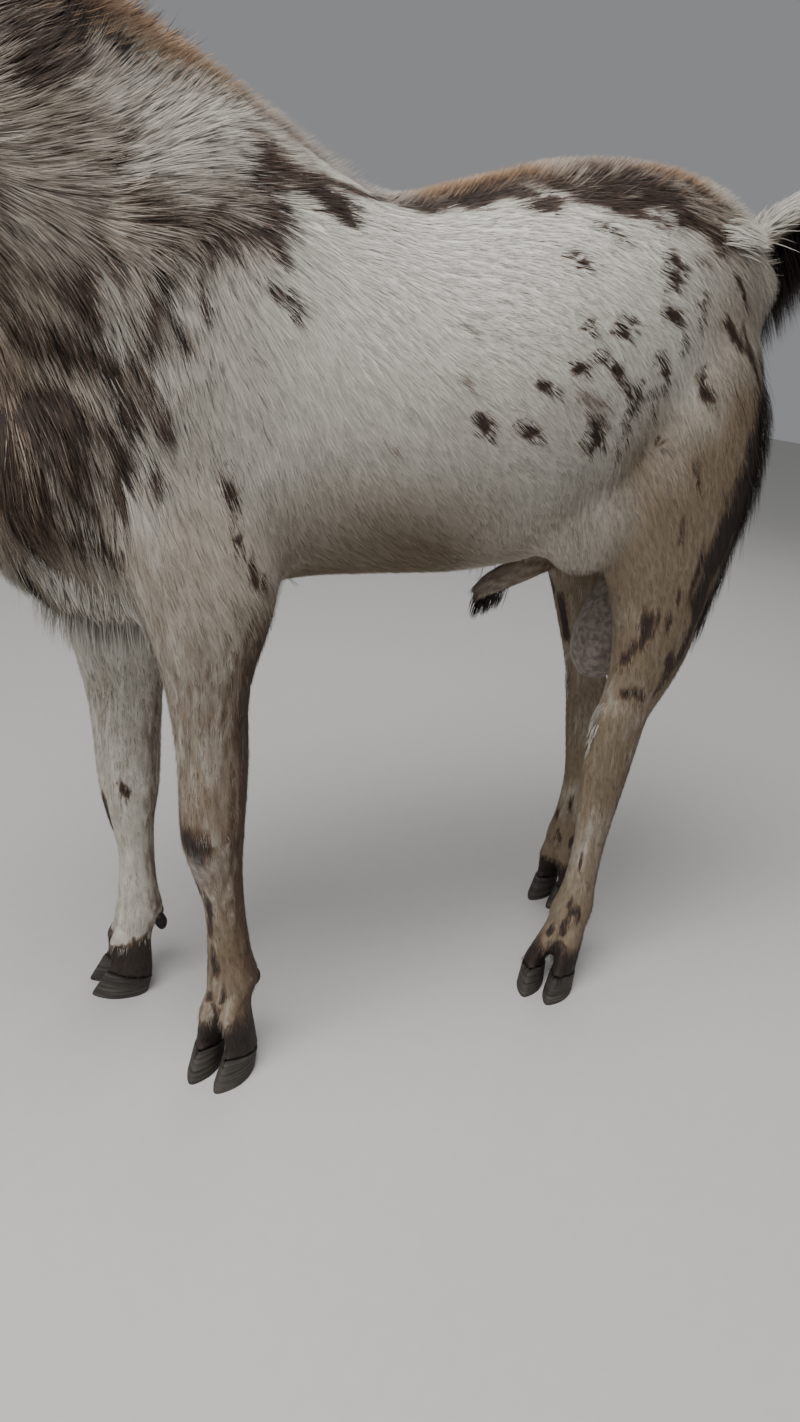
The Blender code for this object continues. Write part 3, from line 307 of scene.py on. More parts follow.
# how the coat is combed on the left side: place, lie, and the hair's length and rise off the skin in mm
COMBED = (
    ((-0.25, -0.05, 1.1), (0.72, -0.1, -0.4), 30, 6),
    ((-0.31, -0.04, 0.97), (0.45, -0.05, -0.85), 32, 6),
    ((-0.16, -0.07, 0.99), (0.85, -0.1, -0.25), 36, 7),
    ((-0.23, -0.07, 0.9), (0.6, -0.05, -0.75), 38, 7),
    ((-0.22, -0.04, 0.68), (0.1, -0.1, -1), 40, 7),
    ((-0.11, -0.07, 0.85), (0.9, 0, 0.3), 34, 7),
    ((-0.06, -0.06, 0.86), (0.66, 0.1, 0.72), 30, 8),
    ((-0.04, -0.07, 0.81), (0.8, 0.05, 0.52), 30, 6),
    ((-0.1, -0.08, 0.79), (0.96, 0, 0.1), 34, 7),
    ((-0.03, -0.09, 0.78), (0.93, 0, 0.05), 30, 5.5),
    ((-0.11, -0.09, 0.74), (0.68, -0.05, -0.7), 36, 7),
    ((0.02, -0.09, 0.79), (0.92, 0, 0.05), 27, 5),
    ((0.06, -0.08, 0.81), (0.9, 0, 0.15), 24, 5),
    ((0, -0.04, 0.87), (0.6, 0.12, 0.76), 26, 8),
    ((0.05, -0.04, 0.85), (0.72, 0.08, 0.6), 24, 7),
    ((0.11, -0.03, 0.82), (0.9, 0.05, 0.25), 20, 5),
    ((0.02, -0.1, 0.73), (0.3, 0, -0.95), 24, 4),
    ((-0.05, -0.1, 0.7), (0.34, -0.05, -0.93), 32, 6),
    ((-0.11, -0.09, 0.66), (0.3, -0.05, -0.95), 38, 7),
    ((-0.12, -0.08, 0.58), (0.15, -0.1, -1), 38, 6),
    ((0.08, -0.11, 0.73), (0.74, -0.05, -0.6), 20, 3.5),
    ((0.07, -0.11, 0.68), (0.4, 0, -0.9), 20, 3.2),
    ((0.05, -0.12, 0.62), (0.35, -0.05, -0.92), 20, 3.2),
    ((0.02, -0.11, 0.52), (0.3, 0, -0.95), 20, 3.2),
    ((0.14, -0.05, 0.8), (0.99, -0.1, -0.05), 18, 3),
    ((0.15, -0.1, 0.76), (0.97, -0.05, -0.18), 17, 2.8),
    ((0.15, -0.13, 0.7), (0.85, 0, -0.5), 16, 2.6),
    ((0.15, -0.13, 0.61), (0.62, 0, -0.76), 17, 2.8),
    ((0.14, -0.05, 0.48), (0.9, 0.3, -0.2), 21, 3.8),
    ((0.27, -0.08, 0.8), (0.99, -0.08, -0.08), 17, 2.8),
    ((0.27, -0.13, 0.72), (0.94, 0, -0.3), 15, 2.5),
    ((0.28, -0.14, 0.64), (0.78, 0, -0.6), 15, 2.5),
    ((0.28, -0.12, 0.55), (0.62, 0, -0.76), 16, 2.6),
    ((0.28, -0.05, 0.48), (0.9, 0.3, -0.2), 21, 3.8),
    ((0.4, -0.06, 0.84), (0.97, -0.02, -0.08), 22, 4.5),
    ((0.4, -0.12, 0.75), (0.9, -0.05, -0.42), 15, 2.5),
    ((0.42, -0.12, 0.66), (0.62, 0, -0.78), 15, 2.5),
    ((0.39, -0.11, 0.56), (0.38, 0, -0.92), 16, 2.8),
    ((0.42, -0.04, 0.5), (0.3, 0.2, -0.9), 16, 2.8),
    ((0.5, -0.06, 0.84), (0.93, -0.14, -0.3), 21, 4.4),
    ((0.5, -0.11, 0.74), (0.62, -0.1, -0.8), 15, 2.6),
    ((0.52, -0.11, 0.62), (0.34, -0.05, -0.94), 15, 2.6),
    ((0.58, -0.06, 0.76), (0.5, -0.1, -0.85), 20, 3.4),
    ((0.59, -0.07, 0.62), (0.18, 0, -1), 24, 4.5),
    ((0.5, -0.1, 0.5), (0.3, 0, -0.95), 14, 2.2),
    ((0.57, -0.07, 0.5), (0.08, 0, -1), 22, 4),
    ((0.5, -0.09, 0.4), (0.15, 0, -1), 13, 2.4),
    ((0.48, -0.08, 0.29), (0.1, 0, -1), 12, 2.3),
    ((0.46, -0.08, 0.18), (0.1, 0, -1), 11, 2),
    ((0.45, -0.09, 0.09), (0.1, 0, -1), 11, 2),
    ((0.43, -0.09, 0.04), (-0.25, 0, -1), 14, 1.6),
    ((0.02, -0.09, 0.42), (0.1, 0, -1), 15, 2.8),
    ((0.02, -0.09, 0.28), (0.1, 0, -1), 12, 2.3),
    ((0.03, -0.08, 0.17), (0.1, 0, -1), 11, 2),
    ((0.04, -0.09, 0.09), (0.1, 0, -1), 11, 2),
    ((0.03, -0.09, 0.04), (-0.25, 0, -1), 14, 1.6),
    ((0.6, -0.01, 0.79), (0.8, 0, 0.55), 18, 2.4),
    ((0.7, -0.01, 0.86), (0.9, 0, 0.35), 18, 1.8),
    ((0.5, -0.02, 0.42), (0, 0, -1), 5, 0.4),
    ((0.49, -0.02, 0.36), (0.1, 0, -1), 5, 0.4),
    ((0.38, -0.01, 0.47), (-0.9, 0, -0.4), 10, 1.5),
    ((-0.29, -0.1, 1.05), (0.05, -0.2, -1), 9, 0.8),
    ((-0.3, -0.11, 0.92), (-0.05, -0.05, -1), 8, 0.8),
)
# the same on the head, in its own frame
COMBED_HEAD = (
    ((-0.23, 0, 0.01), (1, 0, 0.1), 5, 0.9),
    ((-0.25, -0.02, -0.04), (0.9, 0, -0.3), 4, 0.7),
    ((-0.23, -0.01, -0.075), (0.9, 0, -0.3), 8, 1.2),
    ((-0.15, -0.02, 0.05), (1, -0.1, 0), 7, 1.3),
    ((-0.17, -0.035, -0.03), (0.95, 0, -0.35), 7, 1.2),
    ((-0.05, -0.02, 0.05), (0.95, -0.3, 0.1), 12, 2.4),
    ((-0.09, -0.055, 0.035), (0.8, -0.2, 0.4), 5, 0.9),
    ((-0.09, -0.055, -0.01), (0.9, 0, -0.5), 6, 1),
    ((-0.03, -0.05, -0.05), (0.7, -0.1, -0.7), 11, 2.2),
    ((-0.1, -0.03, -0.09), (0.9, -0.1, -0.4), 12, 2.2),
    ((0.02, -0.02, 0.04), (0.9, -0.2, 0), 16, 3.4),
    ((0, -0.02, -0.1), (0.6, 0, -0.8), 18, 4.2),
)
# how the guides share out the places between them
COMB_SOFTNESS = 0.0004
COMB_POWER = 2.2

# a tuft's least width in mm, and the share of its length that is added to it
TUFT_LEAST = 0.56
TUFT_SHARE = 0.008
# how far a tuft narrows, its thickness as a share of half its width, and how far its tip joins its clump
TUFT_TAPER = 0.75
TUFT_THICKNESS = 0.35
TUFT_PULL = 0.42
# in metres: how deep a tuft's root is, the size of a lock of one shade, and half a tuft's patch of unwrap
TUFT_ROOT = 0.0008
LOCK_SIZE = 0.0045
PATCH_HALF = 0.0015

# marks on the coat, as strokes between two pixels of the photograph, with half the stroke's width in mm;
# each group says how dark its marks are, below zero for bare callus, and whether the far side has the like
CLOSE_GROUPS = ("breeches", "back patches", "knee callus")
MARKS = {
    "knee callus": (-1.0, True, (
        (196, 864, 200, 880, 10),
    )),
    "flank spots": (0.90, True, (
        (571, 256, 580, 263, 5), (668, 254, 680, 264, 6), (668, 272, 674, 282, 7), (703, 289, 700, 300, 5),
        (700, 312, 698, 322, 4), (665, 305, 677, 320, 6), (682, 335, 680, 346, 5), (626, 316, 632, 323, 4),
        (614, 325, 624, 333, 4), (586, 321, 590, 330, 4), (711, 227, 722, 252, 4), (734, 270, 744, 296, 4),
        (727, 320, 738, 338, 7), (742, 322, 750, 358, 4), (569, 363, 584, 367, 5), (602, 355, 614, 366, 5),
        (617, 370, 625, 388, 5), (636, 392, 632, 406, 6), (653, 395, 650, 412, 4), (662, 358, 665, 376, 4),
        (664, 378, 662, 390, 4), (700, 370, 702, 380, 4), (700, 386, 710, 398, 5), (472, 412, 486, 418, 5),
        (478, 420, 484, 430, 5), (521, 426, 534, 434, 6), (537, 381, 552, 387, 5), (590, 426, 602, 440, 5),
        (596, 414, 590, 430, 4), (590, 436, 588, 448, 4), (627, 423, 626, 436, 3), (617, 443, 615, 456, 3),
        (656, 441, 662, 446, 4), (694, 466, 699, 478, 4), (681, 526, 679, 534, 3), (700, 548, 704, 558, 3),
        (698, 566, 694, 578, 4), (696, 588, 690, 597, 4), (680, 588, 676, 598, 3), (655, 610, 640, 622, 5),
        (670, 614, 667, 624, 4), (655, 622, 640, 642, 6), (634, 648, 622, 660, 5), (672, 650, 668, 662, 5),
        (224, 474, 230, 494, 5), (231, 523, 237, 540, 5), (251, 570, 262, 580, 5),
    )),
    "faint spots": (0.40, True, (
        (458, 323, 466, 333, 5), (458, 375, 466, 384, 5), (382, 438, 392, 446, 4), (578, 392, 604, 404, 8),
        (584, 408, 606, 420, 6), (120, 358, 118, 400, 9), (180, 312, 186, 330, 4),
    )),
    "neck streaks": (0.95, True, (
        (246, 144, 236, 180, 6), (304, 192, 338, 206, 11), (322, 210, 346, 222, 6), (262, 194, 276, 224, 6),
        (266, 238, 276, 258, 4), (261, 278, 268, 288, 4), (280, 286, 288, 306, 5), (166, 240, 156, 262, 6),
        (150, 272, 138, 326, 7), (196, 274, 202, 294, 5), (171, 308, 176, 326, 5), (118, 342, 120, 408, 9),
        (152, 390, 156, 418, 7), (110, 424, 116, 470, 7), (150, 458, 147, 476, 5), (64, 510, 112, 550, 9),
        (44, 316, 92, 346, 12), (18, 360, 66, 392, 14), (8, 404, 60, 420, 12), (4, 440, 36, 470, 12),
        (2, 500, 26, 540, 11), (16, 558, 34, 590, 8), (58, 440, 66, 470, 6), (16, 74, 58, 66, 9),
        (76, 34, 106, 58, 11), (4, 14, 60, 10, 16), (0, 44, 60, 40, 14), (110, 24, 120, 40, 8),
    )),
    "neck patches": (0.76, True, (
        (106, 144, 88, 170, 6), (116, 196, 146, 214, 9), (196, 205, 176, 218, 6), (262, 158, 256, 222, 9),
        (200, 236, 262, 226, 7), (196, 240, 192, 252, 5), (138, 352, 141, 386, 4), (94, 388, 97, 432, 6),
        (112, 470, 116, 498, 7), (70, 462, 96, 488, 6), (20, 250, 70, 262, 12), (10, 300, 40, 310, 14),
        (60, 274, 84, 300, 7), (4, 40, 100, 20, 24), (0, 90, 50, 60, 14), (290, 176, 350, 188, 7),
        (30, 400, 70, 440, 14), (0, 470, 40, 520, 16), (252, 140, 284, 184, 8), (84, 232, 104, 250, 7),
    )),
    "neck roan": (0.38, True, (
        (0, 110, 60, 122, 16), (20, 190, 90, 205, 20), (0, 230, 60, 236, 20), (150, 220, 260, 232, 14),
        (236, 130, 300, 178, 14), (0, 30, 90, 40, 26), (90, 250, 150, 230, 12), (60, 340, 100, 480, 12),
        (200, 190, 240, 200, 10), (0, 290, 60, 300, 22), (0, 360, 50, 380, 26), (0, 440, 60, 460, 26),
        (0, 520, 50, 540, 24), (0, 580, 50, 600, 14), (240, 110, 330, 185, 9), (20, 150, 60, 160, 12),
    )),
    "back patches": (0.80, True, (
        (350, 190, 430, 196, 6), (424, 192, 500, 188, 8), (498, 192, 546, 204, 10), (520, 206, 548, 212, 5),
        (508, 184, 550, 186, 8), (558, 178, 600, 180, 12), (576, 196, 628, 208, 12), (600, 184, 648, 186, 12),
        (640, 192, 672, 212, 11), (654, 180, 674, 190, 8), (664, 214, 674, 226, 4), (594, 222, 622, 240, 4),
        (640, 214, 650, 224, 4),
    )),
    "breeches": (0.95, True, (
        (778, 350, 772, 400, 12), (772, 396, 756, 450, 20), (756, 448, 738, 510, 24),
        (738, 506, 716, 556, 20), (714, 556, 698, 602, 11), (700, 606, 680, 656, 6), (676, 660, 656, 690, 4),
        (752, 352, 756, 372, 4),
    )),
    "leg spots": (0.90, False, (
        (186, 832, 202, 850, 9), (184, 842, 196, 858, 8), (192, 880, 200, 890, 3), (207, 902, 210, 914, 4),
        (209, 926, 212, 938, 4), (213, 958, 216, 972, 4), (226, 992, 222, 1000, 3), (208, 990, 216, 1010, 3),
        (219, 1012, 214, 1024, 3), (99, 796, 106, 822, 7), (256, 984, 262, 1006, 8), (118, 780, 126, 792, 4),
        (134, 940, 146, 942, 4), (128, 786, 122, 796, 3), (570, 904, 574, 914, 4), (579, 906, 578, 918, 3),
        (566, 922, 562, 932, 4), (552, 926, 548, 934, 4), (572, 796, 570, 806, 3), (558, 810, 556, 818, 3),
        (556, 832, 560, 838, 4), (572, 838, 570, 846, 3), (560, 596, 566, 636, 6), (624, 690, 642, 698, 5),
        (582, 856, 580, 866, 2),
    )),
}

# long hair in rows, for the right side and mirrored unless they run along the middle: first and last root,
# way in to the skin, lie, number, length in mm, rise, how far it hangs free, spread of the roots in mm, kind
Row = namedtuple("Row", "start end inward lie number reach rise hangs spread kind")
LONG_HAIR = {
    "hair_ridge": (
        ((-0.25, 0.008, 1.12), (-0.08, 0.01, 0.93), (-0.75, 0, -0.66), (0.62, 0.2, -0.5), 3300, 15, 2.4, 0,
         20, "ridge"),
        ((-0.085, 0.01, 0.94), (0.02, 0.012, 0.92), (-0.2, 0, -1), (0.85, 0.2, -0.3), 3400, 14, 2.4, 0, 30,
         "ridge"),
        ((0.01, 0.012, 0.95), (0.12, 0.01, 0.9), (0, 0, -1), (0.95, 0.2, -0.15), 3200, 14, 2.2, 0, 30,
         "ridge"),
        ((0.11, 0.01, 0.9), (0.33, 0.012, 0.95), (0, 0, -1), (1, 0.15, 0), 3300, 12, 1.5, 0, 28, "ridge"),
        ((0.32, 0.012, 0.9), (0.605, 0.012, 0.95), (0, 0, -1), (1, 0.15, 0), 5600, 14, 1.7, 0, 36, "ridge"),
    ),
    "hair_breast": (
        ((-0.26, 0.016, 0.93), (-0.20, 0.026, 0.68), (1, 0, 0), (0.02, 0.1, -1), 600, 46, 0.2, 0, 22, "skin"),
        ((-0.2, 0.016, 0.66), (-0.2, 0.02, 0.53), (1, 0, 0), (0.3, 0.1, -1), 500, 44, 0.18, 0, 22, "skin"),
        ((-0.10, 0.02, 0.55), (-0.02, 0.044, 0.53), (0, 0, 1), (0.05, 0.1, -1), 500, 38, 0.15, 1, 14, "pale"),
        ((-0.18, 0.060, 0.52), (-0.18, 0.07, 0.44), (1, 0, 0), (0.05, 0, -1), 500, 26, 0.3, 0, 18, "pale"),
    ),
    "hair_breech": (
        ((0.7, 0.04, 0.72), (0.7, 0.062, 0.46), (-1, 0, 0), (0.2, -0.05, -1), 1500, 60, 0.42, 0, 20, "dark"),
        ((0.7, 0.084, 0.68), (0.7, 0.092, 0.46), (-1, 0, 0), (0.2, 0.12, -1), 1500, 58, 0.36, 0, 20, "dark"),
    ),
    "hair_tail": (
        ((0.606, 0.008, 0.7), (0.7, 0.004, 0.7), (0, 0, 1), (0.3, 0.16, -0.95), 1200, 92, 0.1, 1, 7, "dark"),
        ((0.6, 0.008, 0.95), (0.712, 0.003, 0.95), (0, 0, -1), (0.85, 0.2, 0.45), 900, 38, 0.3, 0, 6, "pale"),
        ((0.5, 0.05, 0.80), (0.62, 0.05, 0.83), (0, -1, 0), (0.75, 0, -0.1), 500, 40, 0.45, 0, 12, "pale"),
    ),
    "hair_sheath": (
        ((0.325, 0, 0.4), (0.36, 0, 0.4), (0, 0, 1), (-0.35, 0, -0.9), 260, 26, 0.2, 1, 7, "dark"),
    ),
    "hair_fringes": (
        ((0.36, 0.082, 0.35), (0.36, 0.082, 0.30), (1, 0, 0), (-0.1, 0, -1), 70, 18, 0.4, 0, 5, "pale"),
        ((0.53, 0.014, 0.44), (0.54, 0.018, 0.48), (0, -1, 0), (0.2, 0, -1), 120, 30, 0.2, 0, 6, "dark"),
    ),
}
# the two rows on the head's middle line, in its frame: x of the first and last root, and the height of both
BEARD_ROOTS = (-0.218, -0.165, -0.085)
FORELOCK_ROOTS = (-0.012, -0.050, 0.05)
# how far outside the roots the rays start, how wide strands are and gather, and the points along one
RAY_START = 0.13
FINE_KINDS = ("ridge", "beard")
STRAND_WIDTH = 0.0010
FINE_CLUMP = 0.006
CLUMP = 0.012
STRAND_SHARES = (0.0, 0.45, 1.0)
STRAIGHT_SHARES = (0.0, 1.0)

# the ridge along the back: x, how ginger its tips are, how dark its roots
RIDGE_RUN = (
    (-0.30, 0.85, 0.60), (-0.04, 0.88, 0.55), (0.03, 0.78, 0.42), (0.07, 0.35, 0.42), (0.15, 0.20, 0.45),
    (0.17, 0.05, 0.30), (0.20, 0.10, 0.55), (0.22, 0.95, 0.64), (0.32, 0.90, 0.66), (0.345, 0.20, 0.40),
    (0.36, 0.25, 0.70), (0.42, 0.30, 0.70), (0.44, 0.90, 0.66), (0.50, 0.80, 0.60), (0.525, 0.10, 0.14),
    (0.62, 0.05, 0.05),
)
# how far down each side of the back the brown band comes: x, reach
BAND_REACH = ((0.12, 0.040), (0.20, 0.056), (0.30, 0.066), (0.34, 0.088), (0.50, 0.086), (0.55, 0.060))

# each coat piece: how many tufts at full density, and a name that goes with the piece
COAT_PIECES = {
    "coat_head": (24000, "coat"),
    "coat_ears": (12000, "coat"),
    "coat_neck_left": (46000, "neck_coat"),
    "coat_neck_right": (24000, "neck_coat"),
    "coat_fore_left": (46000, "coat"),
    "coat_fore_right": (22000, "coat"),
    "coat_rear_left": (42000, "coat"),
    "coat_rear_right": (22000, "coat"),
    "coat_thighs": (28000, "coat"),
    "coat_forelegs": (28000, "coat"),
    "coat_hind_legs": (22000, "coat"),
}

# horns: the whole twist, the year rings, and the grain of the mesh along and round
HORN_TWIST = math.radians(330)
HORN_RINGS = 19
HORN_STEPS = 170
HORN_SIDES = 36
HORN_FLATNESS = 0.62

# the studio's sky, as linear light
SKY = (0.84, 0.85, 0.88, 1.0)
SKY_STRENGTH = 0.30

# a Mix node's sockets when it mixes colours, and settings that many nodes share
FACTOR = 0
FIRST = 6
SECOND = 7
RESULT = 2
MIX = {"data_type": "RGBA"}
MULTIPLY = {"data_type": "RGBA", "blend_type": "MULTIPLY"}
SMOOTH = {"interpolation_type": "SMOOTHSTEP"}


def linear(text):
    """Linear red, green and blue of an sRGB hex colour."""
    parts = [int(text[i : i + 2], 16) / 255 for i in (1, 3, 5)]
    return tuple(p / 12.92 if p <= 0.04045 else ((p + 0.055) / 1.055) ** 2.4 for p in parts)


def length(label, text, default):
    """A setting that is a length in metres."""
    return bpy.props.FloatProperty(name=label, description=text, default=default, min=0.0, unit="LENGTH")


def colour(label, text, default):
    """A setting that is a colour, written as sRGB hex."""
    return bpy.props.FloatVectorProperty(
        name=label, description=text, default=linear(default), subtype="COLOR", size=3, min=0.0, max=1.0
    )


class GoatBodySettings(bpy.types.PropertyGroup):
    """Sizes of the skin and of the horny parts."""

    voxel: length("Fusing voxel", "Grain at which the forms of flesh are fused", 0.0025)
    eye_radius: length("Eye radius", "Half the width of the eyeball", 0.0162)
    ear_length: length("Ear length", "From the root to the tip, along the ear", 0.255)
    ear_width: length("Ear width", "Across the widest of the leaf", 0.104)
    ear_thickness: length("Ear thickness", "Skin to skin, with its short hair", 0.0054)
    horn_reach: length("Horn reach", "How far the horn sweeps from its root", 0.245)
    horn_radius: length("Horn radius", "Half the width of the horn at its root", 0.0255)
    claw_length: length("Claw length", "Along the sole of one claw", 0.060)
    claw_width: length("Claw width", "Across the sole of one claw", 0.029)
    claw_height: length("Claw height", "Horn at the toe, from the floor to the coronet", 0.027)


class GoatCoatSettings(bpy.types.PropertyGroup):
    """How thickly the coat grows and what colours it has."""

    density: bpy.props.FloatProperty(
        name="Density", description="Tufts grown, as a share of the full coat", default=1.0, min=0.05, max=1.5
    )
    clump: length("Clump width", "Distance over which hair tips draw together", 0.009)
    cream: colour("Cream", "White hair in the light", "#d8d3c8")
    # this beige stands partly for soil and partly for painted shade on the belly, rump, thighs and neck
    soil_and_shade: colour("Beige", "Soiled hair low on the body and on the legs", "#7d6d58")
    ginger: colour("Ginger", "Standing hair along the back", "#b78a5c")
    brown: colour("Brown", "Edges of the dark marks", "#684f3c")
    black: colour("Black brown", "Middle of the dark marks", "#2b201a")
    bare: colour("Bare skin", "Nose, lips, lids and scrotum", "#805447")
    callus: colour("Callus", "Worn bare skin on the knees", "#a2988f")


class GoatStageSettings(bpy.types.PropertyGroup):
    """The plain studio round the goat."""

    floor_size: length("Floor size", "Width of the square floor", 14.0)
    floor: colour("Floor", "Plain pale floor", "#cccac6")
    key_power: bpy.props.FloatProperty(
        name="Key light", description="Soft light from above, in watts", default=74.0, min=0.0, unit="POWER"
    )
    fill_power: bpy.props.FloatProperty(
        name="Fill light", description="Soft light from ahead, in watts", default=16.0, min=0.0, unit="POWER"
    )


def feed(tree, node, inputs):
    """Link or set a node's sockets."""
    for name, value in inputs.items():
        if isinstance(value, bpy.types.NodeSocket):
            tree.links.new(value, node.inputs[name])
        else:
            node.inputs[name].default_value = value


def add(tree, kind, settings=None, inputs=None, stops=None):
    """Add a node with its settings, what feeds its sockets, and a ramp's stops."""
    node = tree.nodes.new(f"ShaderNode{kind}")
    for name, value in (settings or {}).items():
        setattr(node, name, value)
    feed(tree, node, inputs or {})
    for i, (place, value) in enumerate(stops or ()):
        ramp = node.color_ramp.elements
        stop = ramp[i] if i < 2 else ramp.new(place)
        stop.position = place
        stop.color = value
    return node


def new_material(name):
    """An empty material with its tree, its shader and its output."""
    made = bpy.data.materials.new(name)
    made.use_nodes = True
    tree = made.node_tree
    return made, tree, tree.nodes["Principled BSDF"]


def rgba(value):
    """A colour setting with full opacity."""
    return (*value, 1.0)


def paint(text):
    """An sRGB hex colour as a node takes it."""
    return rgba(linear(text))


def coat_colour(tree, tones):
    """The goat's markings as a colour, read from the piece's own attribute."""
    marks = add(tree, "Attribute", {"attribute_name": "markings"})
    split = add(tree, "SeparateColor", None, {"Color": marks.outputs["Color"]})
    # the blue share mixes in the beige of soil and painted shade
    pale = add(tree, "Mix", MIX,
               {FACTOR: split.outputs["Blue"], FIRST: rgba(tones.cream), SECOND: rgba(tones.soil_and_shade)})
    warm = add(tree, "Mix", MIX,
               {FACTOR: split.outputs["Green"], FIRST: pale.outputs[RESULT], SECOND: rgba(tones.ginger)})
    dark = add(tree, "ValToRGB", None, {"Fac": split.outputs["Red"]},
               ((0.25, rgba(tones.brown)), (0.85, rgba(tones.black))))
    share = add(tree, "MapRange", SMOOTH, {"Value": split.outputs["Red"], "From Min": 0.12, "From Max": 0.55})
    whole = add(tree, "Mix", MIX,
                {FACTOR: share.outputs["Result"], FIRST: warm.outputs[RESULT], SECOND: dark.outputs["Color"]})
    vary = add(tree, "MapRange", None, {"Value": marks.outputs["Alpha"], "To Min": 0.60, "To Max": 1.20})
    return add(tree, "Mix", MULTIPLY,
               {FACTOR: 1.0, FIRST: whole.outputs[RESULT], SECOND: vary.outputs["Result"]}).outputs[RESULT]


def hair_material():
    """Goat hair: fine, dry and slightly waxed, so that it shines a little along each lock."""
    tones = bpy.context.scene.goat_coat
    made, tree, shader = new_material("goat_hair")
    tone = coat_colour(tree, tones)
    # painted shade: each hair is darker at its root and lighter at its tip, for the shade that falls between
    # the hairs
    along = add(tree, "Attribute", {"attribute_name": "along"})
    depth = add(tree, "MapRange", None, {"Value": along.outputs["Fac"], "To Min": 0.68, "To Max": 1.08})
    root_shaded_tone = add(tree, "Mix", MULTIPLY, {FACTOR: 1.0, FIRST: tone, SECOND: depth.outputs["Result"]})
    feed(tree, shader, {"Base Color": root_shaded_tone.outputs[RESULT], "Roughness": 0.62, "IOR": 1.5,
                        "Specular IOR Level": 0.35})
    return made


def skin_material():
    """Hide under short hair, and bare leathery skin on the nose, lids, scrotum and knee callus."""
    tones = bpy.context.scene.goat_coat
    made, tree, shader = new_material("goat_hide")
    tone = coat_colour(tree, tones)
    place = add(tree, "TexCoord").outputs["Object"]
    bare = add(tree, "Attribute", {"attribute_name": "bare"}).outputs["Fac"]
    # leather grain of the bare skin, about 2 mm from crease to crease
    grain = add(tree, "TexVoronoi", {"feature": "DISTANCE_TO_EDGE"}, {"Vector": place, "Scale": 520.0})
    mottle = add(tree, "TexNoise", None, {"Vector": place, "Scale": 150.0, "Detail": 4.0})
    blotch = add(tree, "ValToRGB", None, {"Fac": mottle.outputs["Fac"]},
                 ((0.38, (0.55, 0.52, 0.52, 1.0)), (0.62, (1.15, 1.1, 1.08, 1.0))))
    marks = add(tree, "Attribute", {"attribute_name": "markings"})
    split = add(tree, "SeparateColor", None, {"Color": marks.outputs["Color"]})
    worn = add(tree, "Mix", MIX,
               {FACTOR: split.outputs["Blue"], FIRST: rgba(tones.bare), SECOND: rgba(tones.callus)})
    depth = add(tree, "MapRange", None, {"Value": split.outputs["Red"], "To Min": 1.0, "To Max": 0.22})
    darker = add(tree, "Mix", MULTIPLY,
                 {FACTOR: 1.0, FIRST: worn.outputs[RESULT], SECOND: depth.outputs["Result"]})
    leather = add(tree, "Mix", MULTIPLY,
                  {FACTOR: 1.0, FIRST: darker.outputs[RESULT], SECOND: blotch.outputs["Color"]})
    whole = add(tree, "Mix", MIX, {FACTOR: bare, FIRST: tone, SECOND: leather.outputs[RESULT]})
    # short hair between the tufts, drawn as streaks about 1 mm wide
    streak = add(tree, "TexNoise", None, {"Vector": place, "Scale": 700.0, "Detail": 2.0})
    hair_bump = add(tree, "Bump", None, {"Height": streak.outputs["Fac"], "Strength": 0.4, "Distance": 0.001})
    leather_bump = add(tree, "Bump", None,
                       {"Height": grain.outputs["Distance"], "Strength": 0.5, "Distance": 0.0008,
                        "Normal": hair_bump.outputs["Normal"]})
    shine = add(tree, "MapRange", None, {"Value": bare, "To Min": 0.75, "To Max": 0.45})
    feed(tree, shader, {"Base Color": whole.outputs[RESULT], "Normal": leather_bump.outputs["Normal"],
                        "Roughness": shine.outputs["Result"]})
    return made


def eye_material():
    """A goat's eye: amber iris with radial fibres, a bar pupil that lies level, and a wet cornea."""
    made, tree, shader = new_material("goat_eye")
    spot = add(tree, "UVMap", {"uv_map": "gaze"}).outputs["UV"]
    parts = add(tree, "SeparateXYZ", None, {"Vector": spot})
    x, y = parts.outputs["X"], parts.outputs["Y"]
    round_out = add(tree, "VectorMath", {"operation": "LENGTH"}, {0: spot}).outputs["Value"]
    fibre = add(tree, "TexNoise", None, {"Vector": spot, "Scale": 9.0, "Detail": 5.0})
    iris = add(tree, "ValToRGB", None, {"Fac": fibre.outputs["Fac"]},
               ((0.3, paint("#6b4415")), (0.7, paint("#c08a32"))))
    rim = add(tree, "MapRange", SMOOTH, {"Value": round_out, "From Min": 0.62, "From Max": 0.76})
    rimmed = add(tree, "Mix", MIX,
                 {FACTOR: rim.outputs["Result"], FIRST: iris.outputs["Color"], SECOND: paint("#1d1511")})
    wide = add(tree, "Math", {"operation": "ABSOLUTE"}, {0: x})
    bar = add(tree, "Math", {"operation": "SUBTRACT"}, {0: wide.outputs[0], 1: 0.26})
    end = add(tree, "Math", {"operation": "MAXIMUM"}, {0: bar.outputs[0], 1: 0.0})
    high = add(tree, "CombineXYZ", None, {"X": end.outputs[0], "Y": y})
    near = add(tree, "VectorMath", {"operation": "LENGTH"}, {0: high.outputs["Vector"]})
    pupil = add(tree, "MapRange", SMOOTH,
                {"Value": near.outputs["Value"], "From Min": 0.13, "From Max": 0.17,
                 "To Min": 1.0, "To Max": 0.0})
    whole = add(tree, "Mix", MIX,
                {FACTOR: pupil.outputs["Result"], FIRST: rimmed.outputs[RESULT], SECOND: paint("#07080c")})
    feed(tree, shader, {"Base Color": whole.outputs[RESULT], "Roughness": 0.08, "Coat Weight": 1.0,
                        "Coat Roughness": 0.02})
    return made


